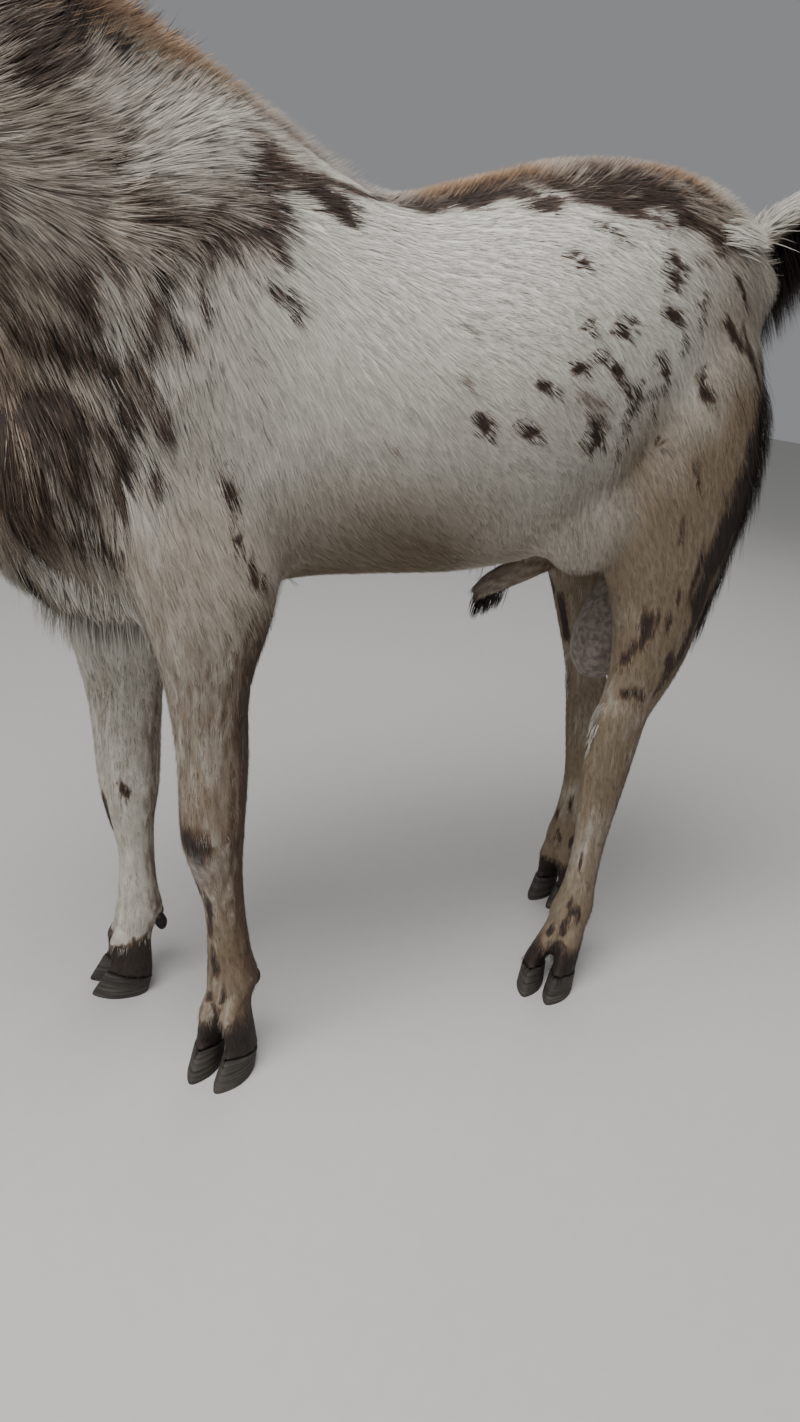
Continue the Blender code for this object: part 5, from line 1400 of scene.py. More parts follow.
    # bare skin: nose, lips, the rims of the lids, the scrotum and the knee callus
    lip = mouth_height(head)
    half = 0.0060 + 0.0055 * step(-0.060, -0.034, head[:, 2])
    nose = step(half + 0.0025, half - 0.0015, np.abs(head[:, 1])) * step(-0.245, -0.252, head[:, 0])
    nose *= step(-0.002, 0.002, head[:, 2] - lip) * step(-0.012, -0.022, head[:, 2])
    nose = np.maximum(nose, step(1.7, 1.3, nostril_reach(head))) * on_head
    lips = step(0.0050, 0.0032, np.abs(head[:, 2] - lip)) * step(-0.172, -0.182, head[:, 0]) * on_head
    reach, _ = lid_reach(head)
    lid = step(1.75, 1.45, reach) * on_head
    purse = in_box(places, PURSE) * step(0.475, 0.455, z)
    bare = np.maximum.reduce([nose, 0.9 * lips, lid, purse, callus])
    dark = np.where(purse > 0, 0.46 + step(-0.004, 0.018, x - 0.500 - 0.30 * (z - 0.395)) * 0.44, dark)
    dark = np.where(lid > 0.1, 0.85, dark)
    dark = np.where(np.maximum(nose, lips) > 0.1, 0.45 + 0.4 * cloud(places, 0.008, 26), dark)
    return np.stack([np.clip(dark, 0, 1), np.clip(warm, 0, 1), soil_and_shade], axis=1), np.clip(bare, 0, 1)


def ridge_run(x):
    """How ginger the tips and how dark the roots of the ridge are along the back."""
    place, ginger, root = np.array(RIDGE_RUN).T
    return np.interp(x, place, ginger), np.interp(x, place, root)


def mouth_height(head):
    """Height of the line between the lips, in the head's frame."""
    return -0.0585 + 0.10 * (head[:, 0] + 0.215)


def nostril_reach(head):
    """How far each place lies from the nearer nostril, a curved slit beside the nose pad, whose rim is 1."""
    x, z = head[:, 0] - NOSTRIL_PLACE[0], head[:, 2] - NOSTRIL_PLACE[1]
    along = x * 0.60 + z * 0.80
    over = -x * 0.80 + z * 0.60
    slit = np.hypot(along / 0.0100, (over + 14.0 * along**2) / 0.0036)
    return np.where(np.abs(head[:, 1]) > 0.0085, slit, FAR_OFF)


def lid_reach(head):
    """How far each place lies from the nearer eye's middle, as a share of its lids' opening, and where."""
    local = from_eye(head)
    out = np.array(EYE_WAY.normalized())
    front = np.array(LID_WAY) - out * (np.array(LID_WAY) @ out)
    front /= np.linalg.norm(front)
    high = np.cross(front, out)
    high *= np.sign(high[2])
    along, up = local @ front, local @ high
    tall = np.where(up > 0, LID_HALF[1], LID_HALF[2])
    reach = (np.abs(along / LID_HALF[0]) ** LID_POWER + np.abs(up / tall) ** LID_POWER) ** (1 / LID_POWER)
    away = np.linalg.norm(local, axis=1)
    reach[local @ out < 0.2 * away] = FAR_OFF
    return reach, np.stack([along, up, away], axis=1)


def add_attribute(mesh, name, kind, values):
    """A value or colour for each vertex."""
    made = mesh.attributes.new(name, kind, "POINT")
    made.data.foreach_set("color" if kind == "FLOAT_COLOR" else "value", values.astype(np.float32).ravel())


class GOAT_OT_stage(bpy.types.Operator):
    """Plain pale floor, soft studio light and the photograph's camera"""

    bl_idname = "goat.stage"
    bl_label = "Studio"

    def execute(self, context):
        settings = context.scene.goat_stage
        bm = bmesh.new()
        bmesh.ops.create_grid(bm, x_segments=1, y_segments=1, size=settings.floor_size / 2)
        floor = show("floor", mesh_of(bm, "floor"))
        made, tree, shader = new_material("studio_floor")
        place = add(tree, "TexCoord").outputs["Object"]
        speck = add(tree, "TexNoise", None, {"Vector": place, "Scale": 60.0, "Detail": 3.0})
        tone = add(tree, "Mix", MIX,
                   {FACTOR: speck.outputs["Fac"], FIRST: rgba(settings.floor),
                    SECOND: rgba([c * 0.93 for c in settings.floor])})
        feed(tree, shader, {"Base Color": tone.outputs[RESULT], "Roughness": 0.85})
        floor.data.materials.append(made)

        world = bpy.data.worlds.new("studio")
        world.use_nodes = True
        sky = world.node_tree.nodes["Background"].inputs
        sky["Color"].default_value = SKY
        sky["Strength"].default_value = SKY_STRENGTH
        context.scene.world = world
        for name, at, size, power in (
            ("key", (-0.75, -0.60, 2.45), 1.5, settings.key_power),
            ("fill", (-2.6, -1.4, 0.9), 2.2, settings.fill_power),
            ("back", (1.6, 2.0, 2.2), 1.8, settings.fill_power),
        ):
            light = bpy.data.lights.new(name, "AREA")
            light.size = size
            light.energy = power
            lamp = show(name, light)
            lamp.location = at
            lamp.rotation_euler = (Vector((0, 0, 0.6)) - Vector(at)).to_track_quat("-Z", "Y").to_euler()

        across, low, ahead = camera_axes()
        view = bpy.data.cameras.new("photo view")
        view.sensor_width = SENSOR
        view.lens = SENSOR * FOCAL_PIXELS / PHOTO_HIGH
        camera = show("photo view", view)
        turn = Matrix((across, -low, -ahead)).transposed().to_4x4()
        camera.matrix_world = Matrix.Translation(CAMERA_PLACE + Vector((BODY_SHIFT, 0, 0))) @ turn
        context.scene.camera = camera
        return {"FINISHED"}


class GOAT_OT_skin(bpy.types.Operator):
    """One skin over the whole goat, inside the solids by the coat's depth"""

    bl_idname = "goat.skin"
    bl_label = "Skin"

    def execute(self, context):
        thing = fused_skin()
        thin_out(thing)
        refine_head(thing)
        places = read_places(thing.data)
        normals = read_normals(thing.data)
        _, _, rise, _ = combed(places, normals)
        write_places(thing.data, places - normals * rise[:, None])
        carve_head(thing.data)
        if not len(thing.data.polygons):
            raise RuntimeError("the skin has no faces")
        mesh = thing.data
        mesh.shade_smooth()
        places = read_places(mesh)
        normals = read_normals(mesh)
        tones, bare = markings(places, normals, strokes(skin_tree(thing)))
        shade = np.full(len(places), SKIN_SHADE)
        add_attribute(mesh, "markings", "FLOAT_COLOR", np.column_stack([tones, shade]))
        add_attribute(mesh, "bare", "FLOAT", bare)
        thing.vertex_groups.clear()
        mesh.materials.clear()
        clothe(mesh, "goat_hide")
        bpy.data.objects.remove(thing)
        add_piece("skin", mesh, "coat", "torso", "neck", "head", "ear_left", "ear_right", "foreleg_left",
                  "foreleg_right", "thigh_left", "thigh_right", "hind_leg_left", "hind_leg_right", "tail",
                  "scrotum", "sheath")
        return {"FINISHED"}


def thin_out(thing):
    """Fewer faces on the trunk, legs and feet, and all of them on the head and ears."""
    places = read_places(thing.data)
    keep = inside(places, HEAD_REGION) | in_box(places, EARS)
    weigh(thing, "thin", np.where(keep, 0.0, 1.0))
    total = sum(len(p.vertices) - 2 for p in thing.data.polygons)
    kept = total * np.mean(keep)
    thin = thing.modifiers.new("thin out", "DECIMATE")
    thin.vertex_group = "thin"
    thin.vertex_group_factor = 1000.0
    thin.ratio = min((kept + TRUNK_FACES) / total, 1.0)
    apply_modifiers(thing)


def refine_head(thing):
    """Smaller faces round the eyes and on the muzzle."""
    bm = bmesh.new()
    bm.from_mesh(thing.data)
    middles = np.array([face.calc_center_median() for face in bm.faces])
    head = in_head_frame(middles)
    eye = np.linalg.norm(from_eye(head), axis=1) < 0.030
    fine = inside(middles, HEAD_REGION) & ((head[:, 0] < -0.19) | eye) & ~in_box(middles, EARS)
    bm.faces.ensure_lookup_table()
    edges = {edge for i in np.flatnonzero(fine) for edge in bm.faces[i].edges}
    bmesh.ops.subdivide_edges(bm, edges=list(edges), cuts=1, use_grid_fill=True)
    bmesh.ops.triangulate(bm, faces=[face for face in bm.faces if len(face.verts) > 4])
    bm.to_mesh(thing.data)
    bm.free()


def swell(value, half):
    """A smooth bump of height 1 at zero, with the half width given."""
    return np.exp(-((value / half) ** 2))


def carve_head(mesh):
    """Lips, nostrils, nose pad, crest, cheek, lids, brow folds and tear ducts, pressed in or raised."""
    places = read_places(mesh)
    normals = read_normals(mesh)
    head = in_head_frame(places)
    x, y, z = head.T
    side = np.abs(y)
    face = inside(places, HEAD_REGION) & ~in_box(places, EARS)
    lip = z - mouth_height(head)
    mouth = step(-0.170, -0.184, x)
    move = mouth * (0.0014 * swell(lip - 0.007, 0.0045) + 0.0010 * swell(lip + 0.007, 0.0045))
    move -= mouth * 0.0036 * swell(lip, 0.0022)
    # corner of the mouth
    move -= 0.0022 * swell(x - MOUTH_CORNER, 0.005) * swell(lip, 0.004)
    # nostrils
    slit = nostril_reach(head)
    move -= 0.0075 * step(1.20, 0.45, slit)
    move += 0.0016 * swell(slit - 1.75, 0.5)
    # groove down the nose pad to the lip
    move -= 0.0017 * swell(y, 0.0017) * step(-0.250, -0.260, x) * step(0.000, 0.006, lip)
    # crest below the eye, hollows above and below it, and the edge of the jaw muscle
    run = step(-0.085, -0.105, x) * step(-0.215, -0.190, x)
    move += 0.0024 * run * swell(z + 0.030, 0.0065)
    move -= 0.0030 * run * swell(z + 0.004, 0.012)
    move -= 0.0026 * run * swell(z + 0.050, 0.010)
    move -= 0.0040 * swell(x + 0.112, 0.013) * swell(z + 0.058, 0.026)
    # nasal bones meet in a soft keel
    keel = step(0.0, 0.02, z + 0.3 * (x + 0.25)) * step(-0.10, -0.13, x)
    move += 0.0012 * swell(side - 0.011, 0.005) * keel
    reach, parts = lid_reach(head)
    a, b, _ = parts.T
    near = reach < FAR_OFF - 1
    # brow fold, creases above and under the eye, and the tear duct
    move += near * 0.0026 * swell(b - 0.0155, 0.0042) * swell(a + 0.002, 0.015)
    move -= near * 0.0014 * swell(b - 0.0108, 0.0018) * swell(a, 0.013)
    move -= near * 0.0014 * swell(b + 0.0118, 0.0020) * swell(a, 0.012)
    duct = swell(b + 0.0022 + 0.45 * (a - 0.0135), 0.0020)
    move -= near * 0.0018 * duct * step(0.012, 0.016, a) * step(0.030, 0.022, a)
    places += normals * (move * face)[:, None]

    # lids: behind the eyeball's surface inside the opening and in front of it outside
    head = in_head_frame(places)
    reach, parts = lid_reach(head)
    away = parts[:, 2]
    radius = bpy.context.scene.goat_body.eye_radius
    wanted = radius - 0.0022 + 0.0044 * step(0.86, 1.14, reach)
    wanted = np.where(reach > 1.14, np.maximum(away, wanted), wanted)
    share = step(2.6, 1.9, reach) * face
    pull = 1 + share * (wanted / np.maximum(away, 1e-6) - 1)
    middle = np.column_stack([np.ones(len(head)), np.sign(y), np.ones(len(head))]) * np.array(EYE_PLACE)
    head = middle + (head - middle) * pull[:, None]
    turn = np.array(HEAD)
    moved = head @ turn[:3, :3].T + turn[:3, 3]
    places = np.where((share > 0)[:, None], moved, places)
    write_places(mesh, places)


def scatter(places, normals, triangles, count, draw):
    """Even random points over triangles: place and normal."""
    a, b, c = (places[triangles[:, i]] for i in range(3))
    area = np.linalg.norm(np.cross(b - a, c - a), axis=1) / 2
    reach = np.cumsum(area)
    picks = np.searchsorted(reach, (np.arange(count) + draw.random(count)) / count * reach[-1])
    picks = np.minimum(picks, len(area) - 1)
    u, v = draw.random(count), draw.random(count)
    over = u + v > 1
    u[over], v[over] = 1 - u[over], 1 - v[over]
    share = np.stack([1 - u - v, u, v], axis=1)
    rows = triangles[picks]
    at = np.einsum("ij,ijk->ik", share, places[rows])
    normal = np.einsum("ij,ijk->ik", share, normals[rows])
    return at, unit(normal)


def tuft_mesh(name, path, facing, width, root_map, tones, draw, tip_tones=None):
    """One mesh of closed, tapered tufts. Path is tuft, point, xyz; root_map is each root on the unwrap."""
    tip_tones = tones if tip_tones is None else tip_tones
    count, points, _ = path.shape
    way = unit(path[:, 1:] - path[:, :-1])
    side = unit(np.cross(way, facing[:, None, :]))
    lift = np.cross(side, way)
    rings = []
    for i in range(points - 1):
        half = (width * (1 - TUFT_TAPER * i / points) / 2)[:, None]
        centre = path[:, i]
        top = centre + lift[:, i] * half * TUFT_THICKNESS
        rings += [centre + side[:, i] * half, top, centre - side[:, i] * half]
    corners = np.stack([*rings, path[:, -1]], axis=1)
    each = corners.shape[1]
    faces = [(0, 1, 2)]
    for i in range(points - 2):
        for j in range(3):
            a, b = 3 * i + j, 3 * i + (j + 1) % 3
            faces += [(a, a + 3, b + 3), (a, b + 3, b)]
    last = 3 * (points - 2)
    faces += [(last + j, each - 1, last + (j + 1) % 3) for j in range(3)]
    index = (np.array(faces)[None] + (np.arange(count) * each)[:, None, None]).reshape(-1, 3)
    mesh = bpy.data.meshes.new(name)
    mesh.vertices.add(count * each)
    mesh.vertices.foreach_set("co", corners.astype(np.float32).ravel())
    mesh.loops.add(index.size)
    mesh.loops.foreach_set("vertex_index", index.astype(np.int32).ravel())
    mesh.polygons.add(len(index))
    mesh.polygons.foreach_set("loop_start", np.arange(0, index.size, 3, dtype=np.int32))
    mesh.update(calc_edges=True)

    reach = np.array([i / (points - 1) for i in range(points - 1) for _ in range(3)] + [1.0])
    add_attribute(mesh, "along", "FLOAT", np.tile(reach, count))
    shades = tones[:, None] + (tip_tones - tones)[:, None] * reach[None, :, None]
    locks = 0.55 * draw.random(count) + 0.45 * step(0.2, 0.8, cloud(path[:, 0], LOCK_SIZE, 27))
    vary = np.repeat(locks[:, None], each, axis=1)[..., None]
    add_attribute(mesh, "markings", "FLOAT_COLOR", np.concatenate([shades, vary], axis=2))
    # each tuft is a small patch at its root's place
    across = np.array([1 - j for _ in range(points - 1) for j in range(3)] + [0.0])
    patch = np.stack([across, 2 * reach - 1], axis=1) * PATCH_HALF
    spread = (root_map[:, None, :] + patch[None]).reshape(-1, 2)
    layer = mesh.uv_layers.new(name="OFBake")
    layer.data.foreach_set("uv", spread[index.ravel()].astype(np.float32).ravel())
    lean = unit(facing - way[:, 0] * 0.25 + side[:, 0] * draw.uniform(-0.6, 0.6, count)[:, None])
    lean = unit(0.65 * lean + 0.35 * facing)
    soft = np.repeat(lean, each, axis=0)
    mesh.normals_split_custom_set_from_vertices(soft.astype(np.float32))
    clothe(mesh, "goat_hair")
    return mesh


def unwrap(places, triangles):
    """A thin copy of part of the skin with its own unwrap, and a finder on it."""
    used, index = np.unique(triangles, return_inverse=True)
    mesh = bpy.data.meshes.new("unwrap")
    mesh.from_pydata(places[used].tolist(), [], index.reshape(-1, 3).tolist())
    thing = show("unwrap", mesh)
    thin = thing.modifiers.new("thin", "DECIMATE")
    thin.ratio = min(1.0, 1500 / len(triangles))
    apply_modifiers(thing)
    bpy.context.view_layer.objects.active = thing
    thing.select_set(True)
    bpy.ops.object.mode_set(mode="EDIT")
    bpy.ops.mesh.select_all(action="SELECT")
    bpy.ops.uv.smart_project(angle_limit=math.radians(66), island_margin=0.01)
    bpy.ops.object.mode_set(mode="OBJECT")
    mesh = thing.data
    points = read_places(mesh)
    rows = triangles_of(mesh)
    loops = read_rows(mesh.loop_triangles, "loops", kind=np.int32)
    uv = read_rows(mesh.uv_layers.active.data, "uv", 2)[loops]
    bpy.data.objects.remove(thing)
    return finder(points, rows), points, rows, uv


def roots_on_unwrap(copy, roots):
    """Each root's place on the unwrap of the skin under it."""
    tree, points, rows, uv = copy
    found = [tree.find_nearest(Vector(p)) for p in roots]
    face = np.array([f[2] for f in found])
    near = np.array([tuple(f[0]) for f in found])
    a, b, c = (points[rows[face, i]] for i in range(3))
    v0, v1, v2 = b - a, c - a, near - a
    d00, d01, d11 = (np.sum(p * q, axis=1) for p, q in ((v0, v0), (v0, v1), (v1, v1)))
    d20, d21 = np.sum(v2 * v0, axis=1), np.sum(v2 * v1, axis=1)
    under = np.maximum(d00 * d11 - d01 * d01, 1e-15)
    second = (d11 * d20 - d01 * d21) / under
    third = (d00 * d21 - d01 * d20) / under
    share = np.clip(np.stack([1 - second - third, second, third], axis=1), 0, 1)
    share /= share.sum(axis=1)[:, None]
    return np.einsum("ij,ijk->ik", share, uv[face])


def drawn_together(roots, tips, size, seed, pull):
    """Tips moved part way to the middle of their clump, as hair tips gather."""
    warp = np.stack([cloud(roots, size * 2, seed + i) for i in range(3)], axis=1) * size * 1.5
    cell = np.floor((roots + warp) / size).astype(np.int64)
    key = (cell[:, 0] + 2048) * 4096**2 + (cell[:, 1] + 2048) * 4096 + cell[:, 2] + 2048
    _, group = np.unique(key, return_inverse=True)
    number = np.bincount(group)
    middle = np.stack([np.bincount(group, tips[:, i]) / number for i in range(3)], axis=1)
    return tips + (middle[group] - tips) * pull


def skin_arrays():
    """The skin's places in the stations' frame, its normals and triangles, and a finder on it."""
    mesh = bpy.data.objects["skin"].data
    places = read_places(mesh)
    places[:, 0] -= BODY_SHIFT
    triangles = triangles_of(mesh)
    return places, read_normals(mesh), triangles, finder(places, triangles)


def coat_piece_of(places):
    """Which coat piece covers each place."""
    left = places[:, 1] < 0
    names = np.where(left, "coat_fore_left", "coat_fore_right").astype("<U20")
    rear = places[:, 0] > TRUNK_MIDDLE
    names[rear] = np.where(left[rear], "coat_rear_left", "coat_rear_right")
    side = np.abs(places[:, 1]) > INNER_FACE
    moved = places - np.array([FORE_STEP, 0, 0]) * (~left)[:, None]
    names[inside(moved, FORELEG_REGION) & side] = "coat_forelegs"
    hind = inside(places, HIND_REGION) & side
    names[hind] = np.where(places[hind, 2] > HOCK_CUT, "coat_thighs", "coat_hind_legs")
    neck = inside(places, NECK_REGION)
    names[neck] = np.where(left[neck], "coat_neck_left", "coat_neck_right")
    names[inside(places, HEAD_REGION)] = "coat_head"
    names[in_box(places, EARS)] = "coat_ears"
    names[in_box(places, PURSE)] = "none"
    return names


class GOAT_OT_coat(bpy.types.Operator):
    """Short coat over the whole skin, as thin tufts that lie the way the hair does"""

    bl_idname = "goat.coat"
    bl_label = "Coat"

    def execute(self, context):
        settings = context.scene.goat_coat
        places, normals, triangles, tree = skin_arrays()
        marks = strokes(tree)
        owner = coat_piece_of(places[triangles].mean(axis=1))
        for number, (name, (count, slot)) in enumerate(COAT_PIECES.items()):
            draw = np.random.default_rng(SEED * 100 + number)
            rows = triangles[owner == name]
            if not len(rows):
                raise RuntimeError(f"no skin under {name}")
            at, normal = scatter(places, normals, rows, int(count * settings.density), draw)
            lie, size, rise, width = combed(at, normal)
            # each tuft takes its colour from near its root, so that marks have feathered edges
            mixed = at + lie * draw.normal(0, 0.16, len(at))[:, None] * size[:, None]
            tones, bare = markings(mixed, normal, marks)
            back = step(0.10, 0.06, np.abs(at[:, 1])) * step(0.70, 0.76, at[:, 2])
            rough = np.maximum(step(0.04, -0.04, at[:, 0]), back)
            tones[:, 0] = np.clip(tones[:, 0] * (1.32 - draw.random(len(at)) * (0.70 + 0.12 * rough)), 0, 1)
            grows = bare < draw.random(len(at)) * 0.8
            at, normal, tones, lie = at[grows], normal[grows], tones[grows], lie[grows]
            size, rise, width = size[grows], rise[grows], width[grows]
            copy = unwrap(places, rows)
            stray = draw.normal(0, 0.10, (len(at), 3))
            lie = unit(lie + stray - normal * np.sum(stray * normal, axis=1)[:, None])
            size = size * draw.uniform(0.75, 1.15, len(at))
            rise = rise * draw.uniform(0.35, 1.0, len(at))
            root = at - normal * TUFT_ROOT
            tip = at + lie * size[:, None] + normal * rise[:, None]
            tip = drawn_together(at, tip, settings.clump, number, TUFT_PULL)
            path = np.stack([root, tip], axis=1)
            mesh = tuft_mesh(name, path, normal, width, roots_on_unwrap(copy, at), tones, draw)
            add_piece(name, mesh, slot)
        return {"FINISHED"}


def strand_roots(tree, row, draw):
    """Where the strands of one row are rooted: place, normal, lie and length."""
    start, end = np.array(row.start), np.array(row.end)
    middle = row.start[1] == 0 and row.lie[1] == 0
    out = []
    for side in (1,) if middle else (-1, 1):
        flip = np.array([1, side, 1])
        toward = unit(np.array(row.inward, float) * flip)
        share = (np.arange(row.number) + draw.random(row.number)) / row.number
        aims = (start + share[:, None] * (end - start)) * flip
        aims = aims + draw.normal(0, row.spread / 2000, (row.number, 3))
        for aim in aims:
            hit, normal, _, _ = tree.ray_cast(Vector(aim - toward * RAY_START), Vector(toward))
            if hit is None:
                continue
            way = np.array(row.lie) * flip + draw.normal(0, 0.12, 3)
            normal = np.array(normal)
            if not row.hangs:
                way = way - normal * (way @ normal)
            out.append((*hit, *normal, *unit(way), row.reach / 1000 * draw.uniform(0.6, 1.12)))
    if not out:
        raise RuntimeError("a row of long hair has no skin under it")
    rows = np.array(out)
    return rows[:, :3], rows[:, 3:6], rows[:, 6:9], rows[:, 9]


def strand_paths(row, at, normal, way, reach, seed, draw):
    """Paths of long hair, curved but on the ridge, and drawn together towards the tips."""
    clump = FINE_CLUMP if row.kind in FINE_KINDS else CLUMP
    outward = unit(normal - way * np.sum(normal * way, axis=1)[:, None])
    side = np.cross(way, outward)
    phase = draw.uniform(0, 2 * math.pi, len(at))
    points = []
    for share in STRAIGHT_SHARES if row.kind == "ridge" else STRAND_SHARES:
        lift = row.rise * (share - 0.45 * share**2)
        wave = 0.035 * np.sin(phase + share * 7.0) * share
        at_share = at + (way * share + outward * lift + side * wave[:, None]) * reach[:, None]
        if share == 0.0:
            at_share = at - normal * 0.0015
        at_share[:, 2] -= row.hangs * 0.05 * reach * share**2
        points.append(drawn_together(at, at_share, clump, seed, 0.6 * share**1.4))
    return np.stack(points, axis=1)


def strand_tones(kind, at, normal, marks, draw):
    """Colour of long hair at the root and at the tip."""
    tones, _ = markings(at, normal, marks)
    tips = tones.copy()
    if kind == "ridge":
        ginger, root = ridge_run(at[:, 0])
        blend = 0.6 + 0.6 * cloud(at, 0.012, 20)
        tones[:, 0] = root * blend * draw.uniform(0.6, 1.4, len(at))
        tones[:, 1] = 0.8 * ginger
        tips[:, 0] = tones[:, 0] * draw.uniform(0.0, 0.75, len(at))
        tips[:, 1] = ginger * blend * draw.uniform(0.6, 1.3, len(at))
        tips[:, 2] = tones[:, 2] = 0.45 * blend
    elif kind == "dark":
        tones[:, 0] = tips[:, 0] = np.clip(0.50 + 0.55 * cloud(at, 0.012, 21), 0, 1)
    elif kind == "pale":
        tones[:], tips[:] = 0.0, 0.0
        tones[:, 2], tips[:, 2] = 0.25, 0.05
    return np.clip(tones, 0, 1), np.clip(tips, 0, 1)


class GOAT_OT_long_hair(bpy.types.Operator):
    """The ridge along the back, the breast, breeches, tail, sheath, fringes, beard and forelock"""

    bl_idname = "goat.long_hair"
    bl_label = "Long hair"

    def execute(self, context):
        places, _, triangles, tree = skin_arrays()
        marks = strokes(tree)
        turn = HEAD.to_3x3()
        chin, brow = (
            [tuple(HEAD @ Vector((x, 0, z))) for x in (first, last)]
            for first, last, z in (BEARD_ROOTS, FORELOCK_ROOTS)
        )
        up, down, ahead = (tuple(turn @ Vector(way)) for way in ((0, 0, 1), (0, 0, -1), (-1, 0, 0)))
        groups = {
            **LONG_HAIR,
            "hair_beard": [(*chin, up, (0.12, 0, -1), 900, 74, 0.1, 1, 15, "beard")],
            "hair_forelock": [(*brow, down, ahead, 420, 26, 0.10, 0, 20, "skin")],
        }
        for number, (name, rows) in enumerate(groups.items()):
            draw = np.random.default_rng(SEED * 200 + number)
            parts = []
            for row in (Row(*values) for values in rows):
                at, normal, way, reach = strand_roots(tree, row, draw)
                path = strand_paths(row, at, normal, way, reach, number, draw)
                parts.append((path, normal, at, *strand_tones(row.kind, at, normal, marks, draw)))
            path, normal, at, tones, tips = (np.concatenate(group) for group in zip(*parts))
            near = np.zeros(len(places), bool)
            near[triangles[[tree.find_nearest(Vector(p))[2] for p in at[::7]]]] = True
            width = np.full(len(at), STRAND_WIDTH * (0.6 if row.kind in FINE_KINDS else 0.9))
            copy = unwrap(places, triangles[near[triangles].any(axis=1)])
            mesh = tuft_mesh(name, path, normal, width, roots_on_unwrap(copy, at), tones, draw, tips)
            add_piece(name, mesh, "long_hair")
        return {"FINISHED"}


class GOAT_OT_eyes(bpy.types.Operator):
    """Two wet amber eyes with bar pupils"""

    bl_idname = "goat.eyes"
    bl_label = "Eyes"

    def execute(self, context):
        radius = context.scene.goat_body.eye_radius
        for name, side in (("eye_left", -1), ("eye_right", 1)):
            bm = bmesh.new()
            bmesh.ops.create_uvsphere(bm, u_segments=48, v_segments=32, radius=radius)
            for v in bm.verts:
                # the cornea stands a little proud of the ball
                front = max(v.co.z / radius, 0.0)
                v.co.z += 0.0011 * step(0.78, 0.95, front)
            layer = bm.loops.layers.uv.new("gaze")
            for face in bm.faces:
                for loop in face.loops:
                    flat = loop.vert.co.xy / radius
                    loop[layer].uv = flat if loop.vert.co.z > 0 else flat.normalized() * 1.2
            out = on_side(EYE_WAY, side).normalized()
            level = HEAD.to_3x3().inverted() @ Vector((1, 0, 0))
            level = (level - out * level.dot(out)).normalized()
            high = out.cross(level)
            turn = Matrix((level, high, out)).transposed().to_4x4()
            place = HEAD @ Matrix.Translation(on_side(EYE_PLACE, side)) @ turn
            bmesh.ops.transform(bm, matrix=place, verts=bm.verts)
            add_hard_piece(bm, f"{name}_ball", "eye", "goat_eye", name)
        return {"FINISHED"}


class GOAT_OT_horns(bpy.types.Operator):
    """Two thick ringed horns, swept back and out"""

    bl_idname = "goat.horns"
    bl_label = "Horns"

    def execute(self, context):
        sizes = context.scene.goat_body
        for name, hand in (("horn_left", -1), ("horn_right", 1)):
            base = HEAD @ on_side(HORN_ROOT, hand)
            rings = []
            for k in range(HORN_STEPS + 1):
                s = k / HORN_STEPS
                aside = hand * (0.30 * s + 0.52 * s * s)
                swept = Vector((0.50 * s + 0.46 * s * s, aside, 0.95 * s - 0.36 * s * s))
                at = base + sizes.horn_reach * swept
                ahead = Vector((0.50 + 0.92 * s, hand * (0.30 + 1.04 * s), 0.95 - 0.72 * s)).normalized()
                radius = sizes.horn_radius * (1 - s) ** 0.72 + 0.0022
                # year rings, unevenly spaced, with finer ones between them
                ripple = abs(math.sin(math.pi * (s + 0.012 * math.sin(17 * s)) * HORN_RINGS)) ** 0.7 * 0.085
                fine = abs(math.sin(math.pi * s * HORN_RINGS * 3.3)) * 0.018
                radius *= 1 + (ripple + fine) * (1 - s) ** 0.6 - 0.05
                across = Vector((0, hand, 0)) - ahead * ahead.y * hand
                across = Matrix.Rotation(hand * HORN_TWIST * s, 3, ahead) @ across.normalized()
                up = ahead.cross(across)
                flat = across * radius * HORN_FLATNESS
                rings.append(oval(at, flat, up * radius * 1.04, up * -radius * 0.96, HORN_SIDES, 1.15))
            bm = bmesh.new()
            loft(bm, rings)
            bmesh.ops.recalc_face_normals(bm, faces=bm.faces)
            layer = bm.loops.layers.uv.new("growth")
            bm.verts.ensure_lookup_table()
            for face in bm.faces:
                for loop in face.loops:
                    ring, place = divmod(loop.vert.index, HORN_SIDES)
                    loop[layer].uv = (math.sin(math.pi * place / HORN_SIDES), ring / HORN_STEPS)
            add_hard_piece(bm, f"{name}_ringed", "horn", "goat_horn", name)
        return {"FINISHED"}


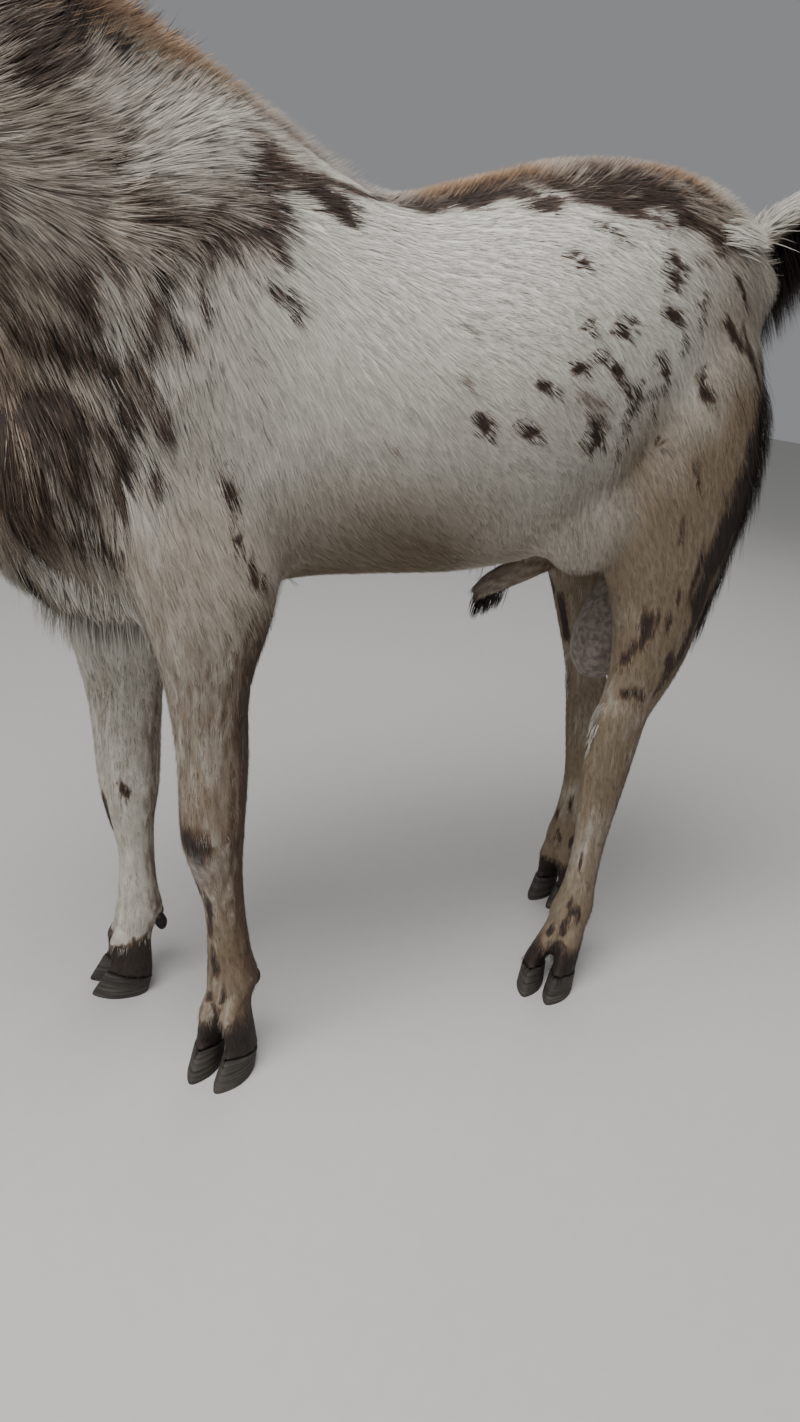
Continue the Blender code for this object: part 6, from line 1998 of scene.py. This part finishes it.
class GOAT_OT_claws(bpy.types.Operator):
    """Eight horn claws on the floor and eight dewclaws behind the fetlocks"""

    bl_idname = "goat.claws"
    bl_label = "Claws"

    def execute(self, context):
        for foot in FEET:
            for hand, label in ((1, "a"), (-1, "b")):
                self.claw(foot, hand, f"claw_{foot}_{label}")
                self.dewclaw(foot, f"dewclaw_{foot}_{label}")
        return {"FINISHED"}

    def claw(self, foot, hand, node):
        """One claw: a wall with growth ridges, closed by its sole."""
        rings = []
        for k in range(15):
            share = k / 14
            ridge = 1 + 0.003 * math.sin(share * 26) - 0.03 * max(0.08 - share, 0) / 0.08
            rings.append(claw_ring(foot, hand, share, 32, ridge))
        self.finish(rings, node, "cloven_hoof_horn")

    def dewclaw(self, foot, node):
        """One small blunt knob."""
        low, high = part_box(node)
        centre = (low + high) / 2 - Vector((BODY_SHIFT, 0, 0))
        ahead, side = foot_ways(FEET[foot][2])
        rings = []
        for k in range(9):
            share = k / 8
            radius = 0.0068 * math.sin(math.pi * (0.12 + 0.80 * share)) ** 0.6
            at = centre + Vector((0, 0, 0.010 - 0.019 * share)) + ahead * (0.004 - 0.003 * share)
            rings.append(oval(at, ahead * radius, side * radius * 0.85, side * -radius * 0.85, 16))
        self.finish(rings, node, "dewclaw_horn")

    def finish(self, rings, node, material):
        """Bridge the rings, and put the piece in the node's place."""
        bm = bmesh.new()
        loft(bm, rings)
        bmesh.ops.recalc_face_normals(bm, faces=bm.faces)
        add_hard_piece(bm, f"{node}_horn", "hoof_horn", material, node, math.radians(50))


class GOAT_PT_panel(bpy.types.Panel):
    """The steps that build the goat, and their settings"""

    bl_idname = "GOAT_PT_panel"
    bl_label = "Makhi cheeni goat"
    bl_space_type = "VIEW_3D"
    bl_region_type = "UI"
    bl_category = "Goat"

    def draw(self, context):
        for operator in OPERATORS:
            self.layout.operator(operator.bl_idname)
        for settings, group in SETTINGS.items():
            box = self.layout.box()
            for name in group.__annotations__:
                box.prop(getattr(context.scene, settings), name)


SETTINGS = {"goat_body": GoatBodySettings, "goat_coat": GoatCoatSettings, "goat_stage": GoatStageSettings}
OPERATORS = (GOAT_OT_stage, GOAT_OT_skin, GOAT_OT_eyes, GOAT_OT_horns, GOAT_OT_claws, GOAT_OT_coat,
             GOAT_OT_long_hair)


def register():
    """Register the settings, the operators and the panel."""
    for name, group in SETTINGS.items():
        bpy.utils.register_class(group)
        setattr(bpy.types.Scene, name, bpy.props.PointerProperty(type=group))
    for made in (*OPERATORS, GOAT_PT_panel):
        bpy.utils.register_class(made)


def unregister():
    """Take them all away again."""
    for made in (GOAT_PT_panel, *reversed(OPERATORS)):
        bpy.utils.unregister_class(made)
    for name, group in reversed(SETTINGS.items()):
        delattr(bpy.types.Scene, name)
        bpy.utils.unregister_class(group)


def main():
    """Build every piece in order."""
    register()
    bpy.ops.goat.stage()
    bpy.ops.goat.skin()
    bpy.ops.goat.eyes()
    bpy.ops.goat.horns()
    bpy.ops.goat.claws()
    bpy.ops.goat.coat()
    bpy.ops.goat.long_hair()


if __name__ == "__main__":
    main()
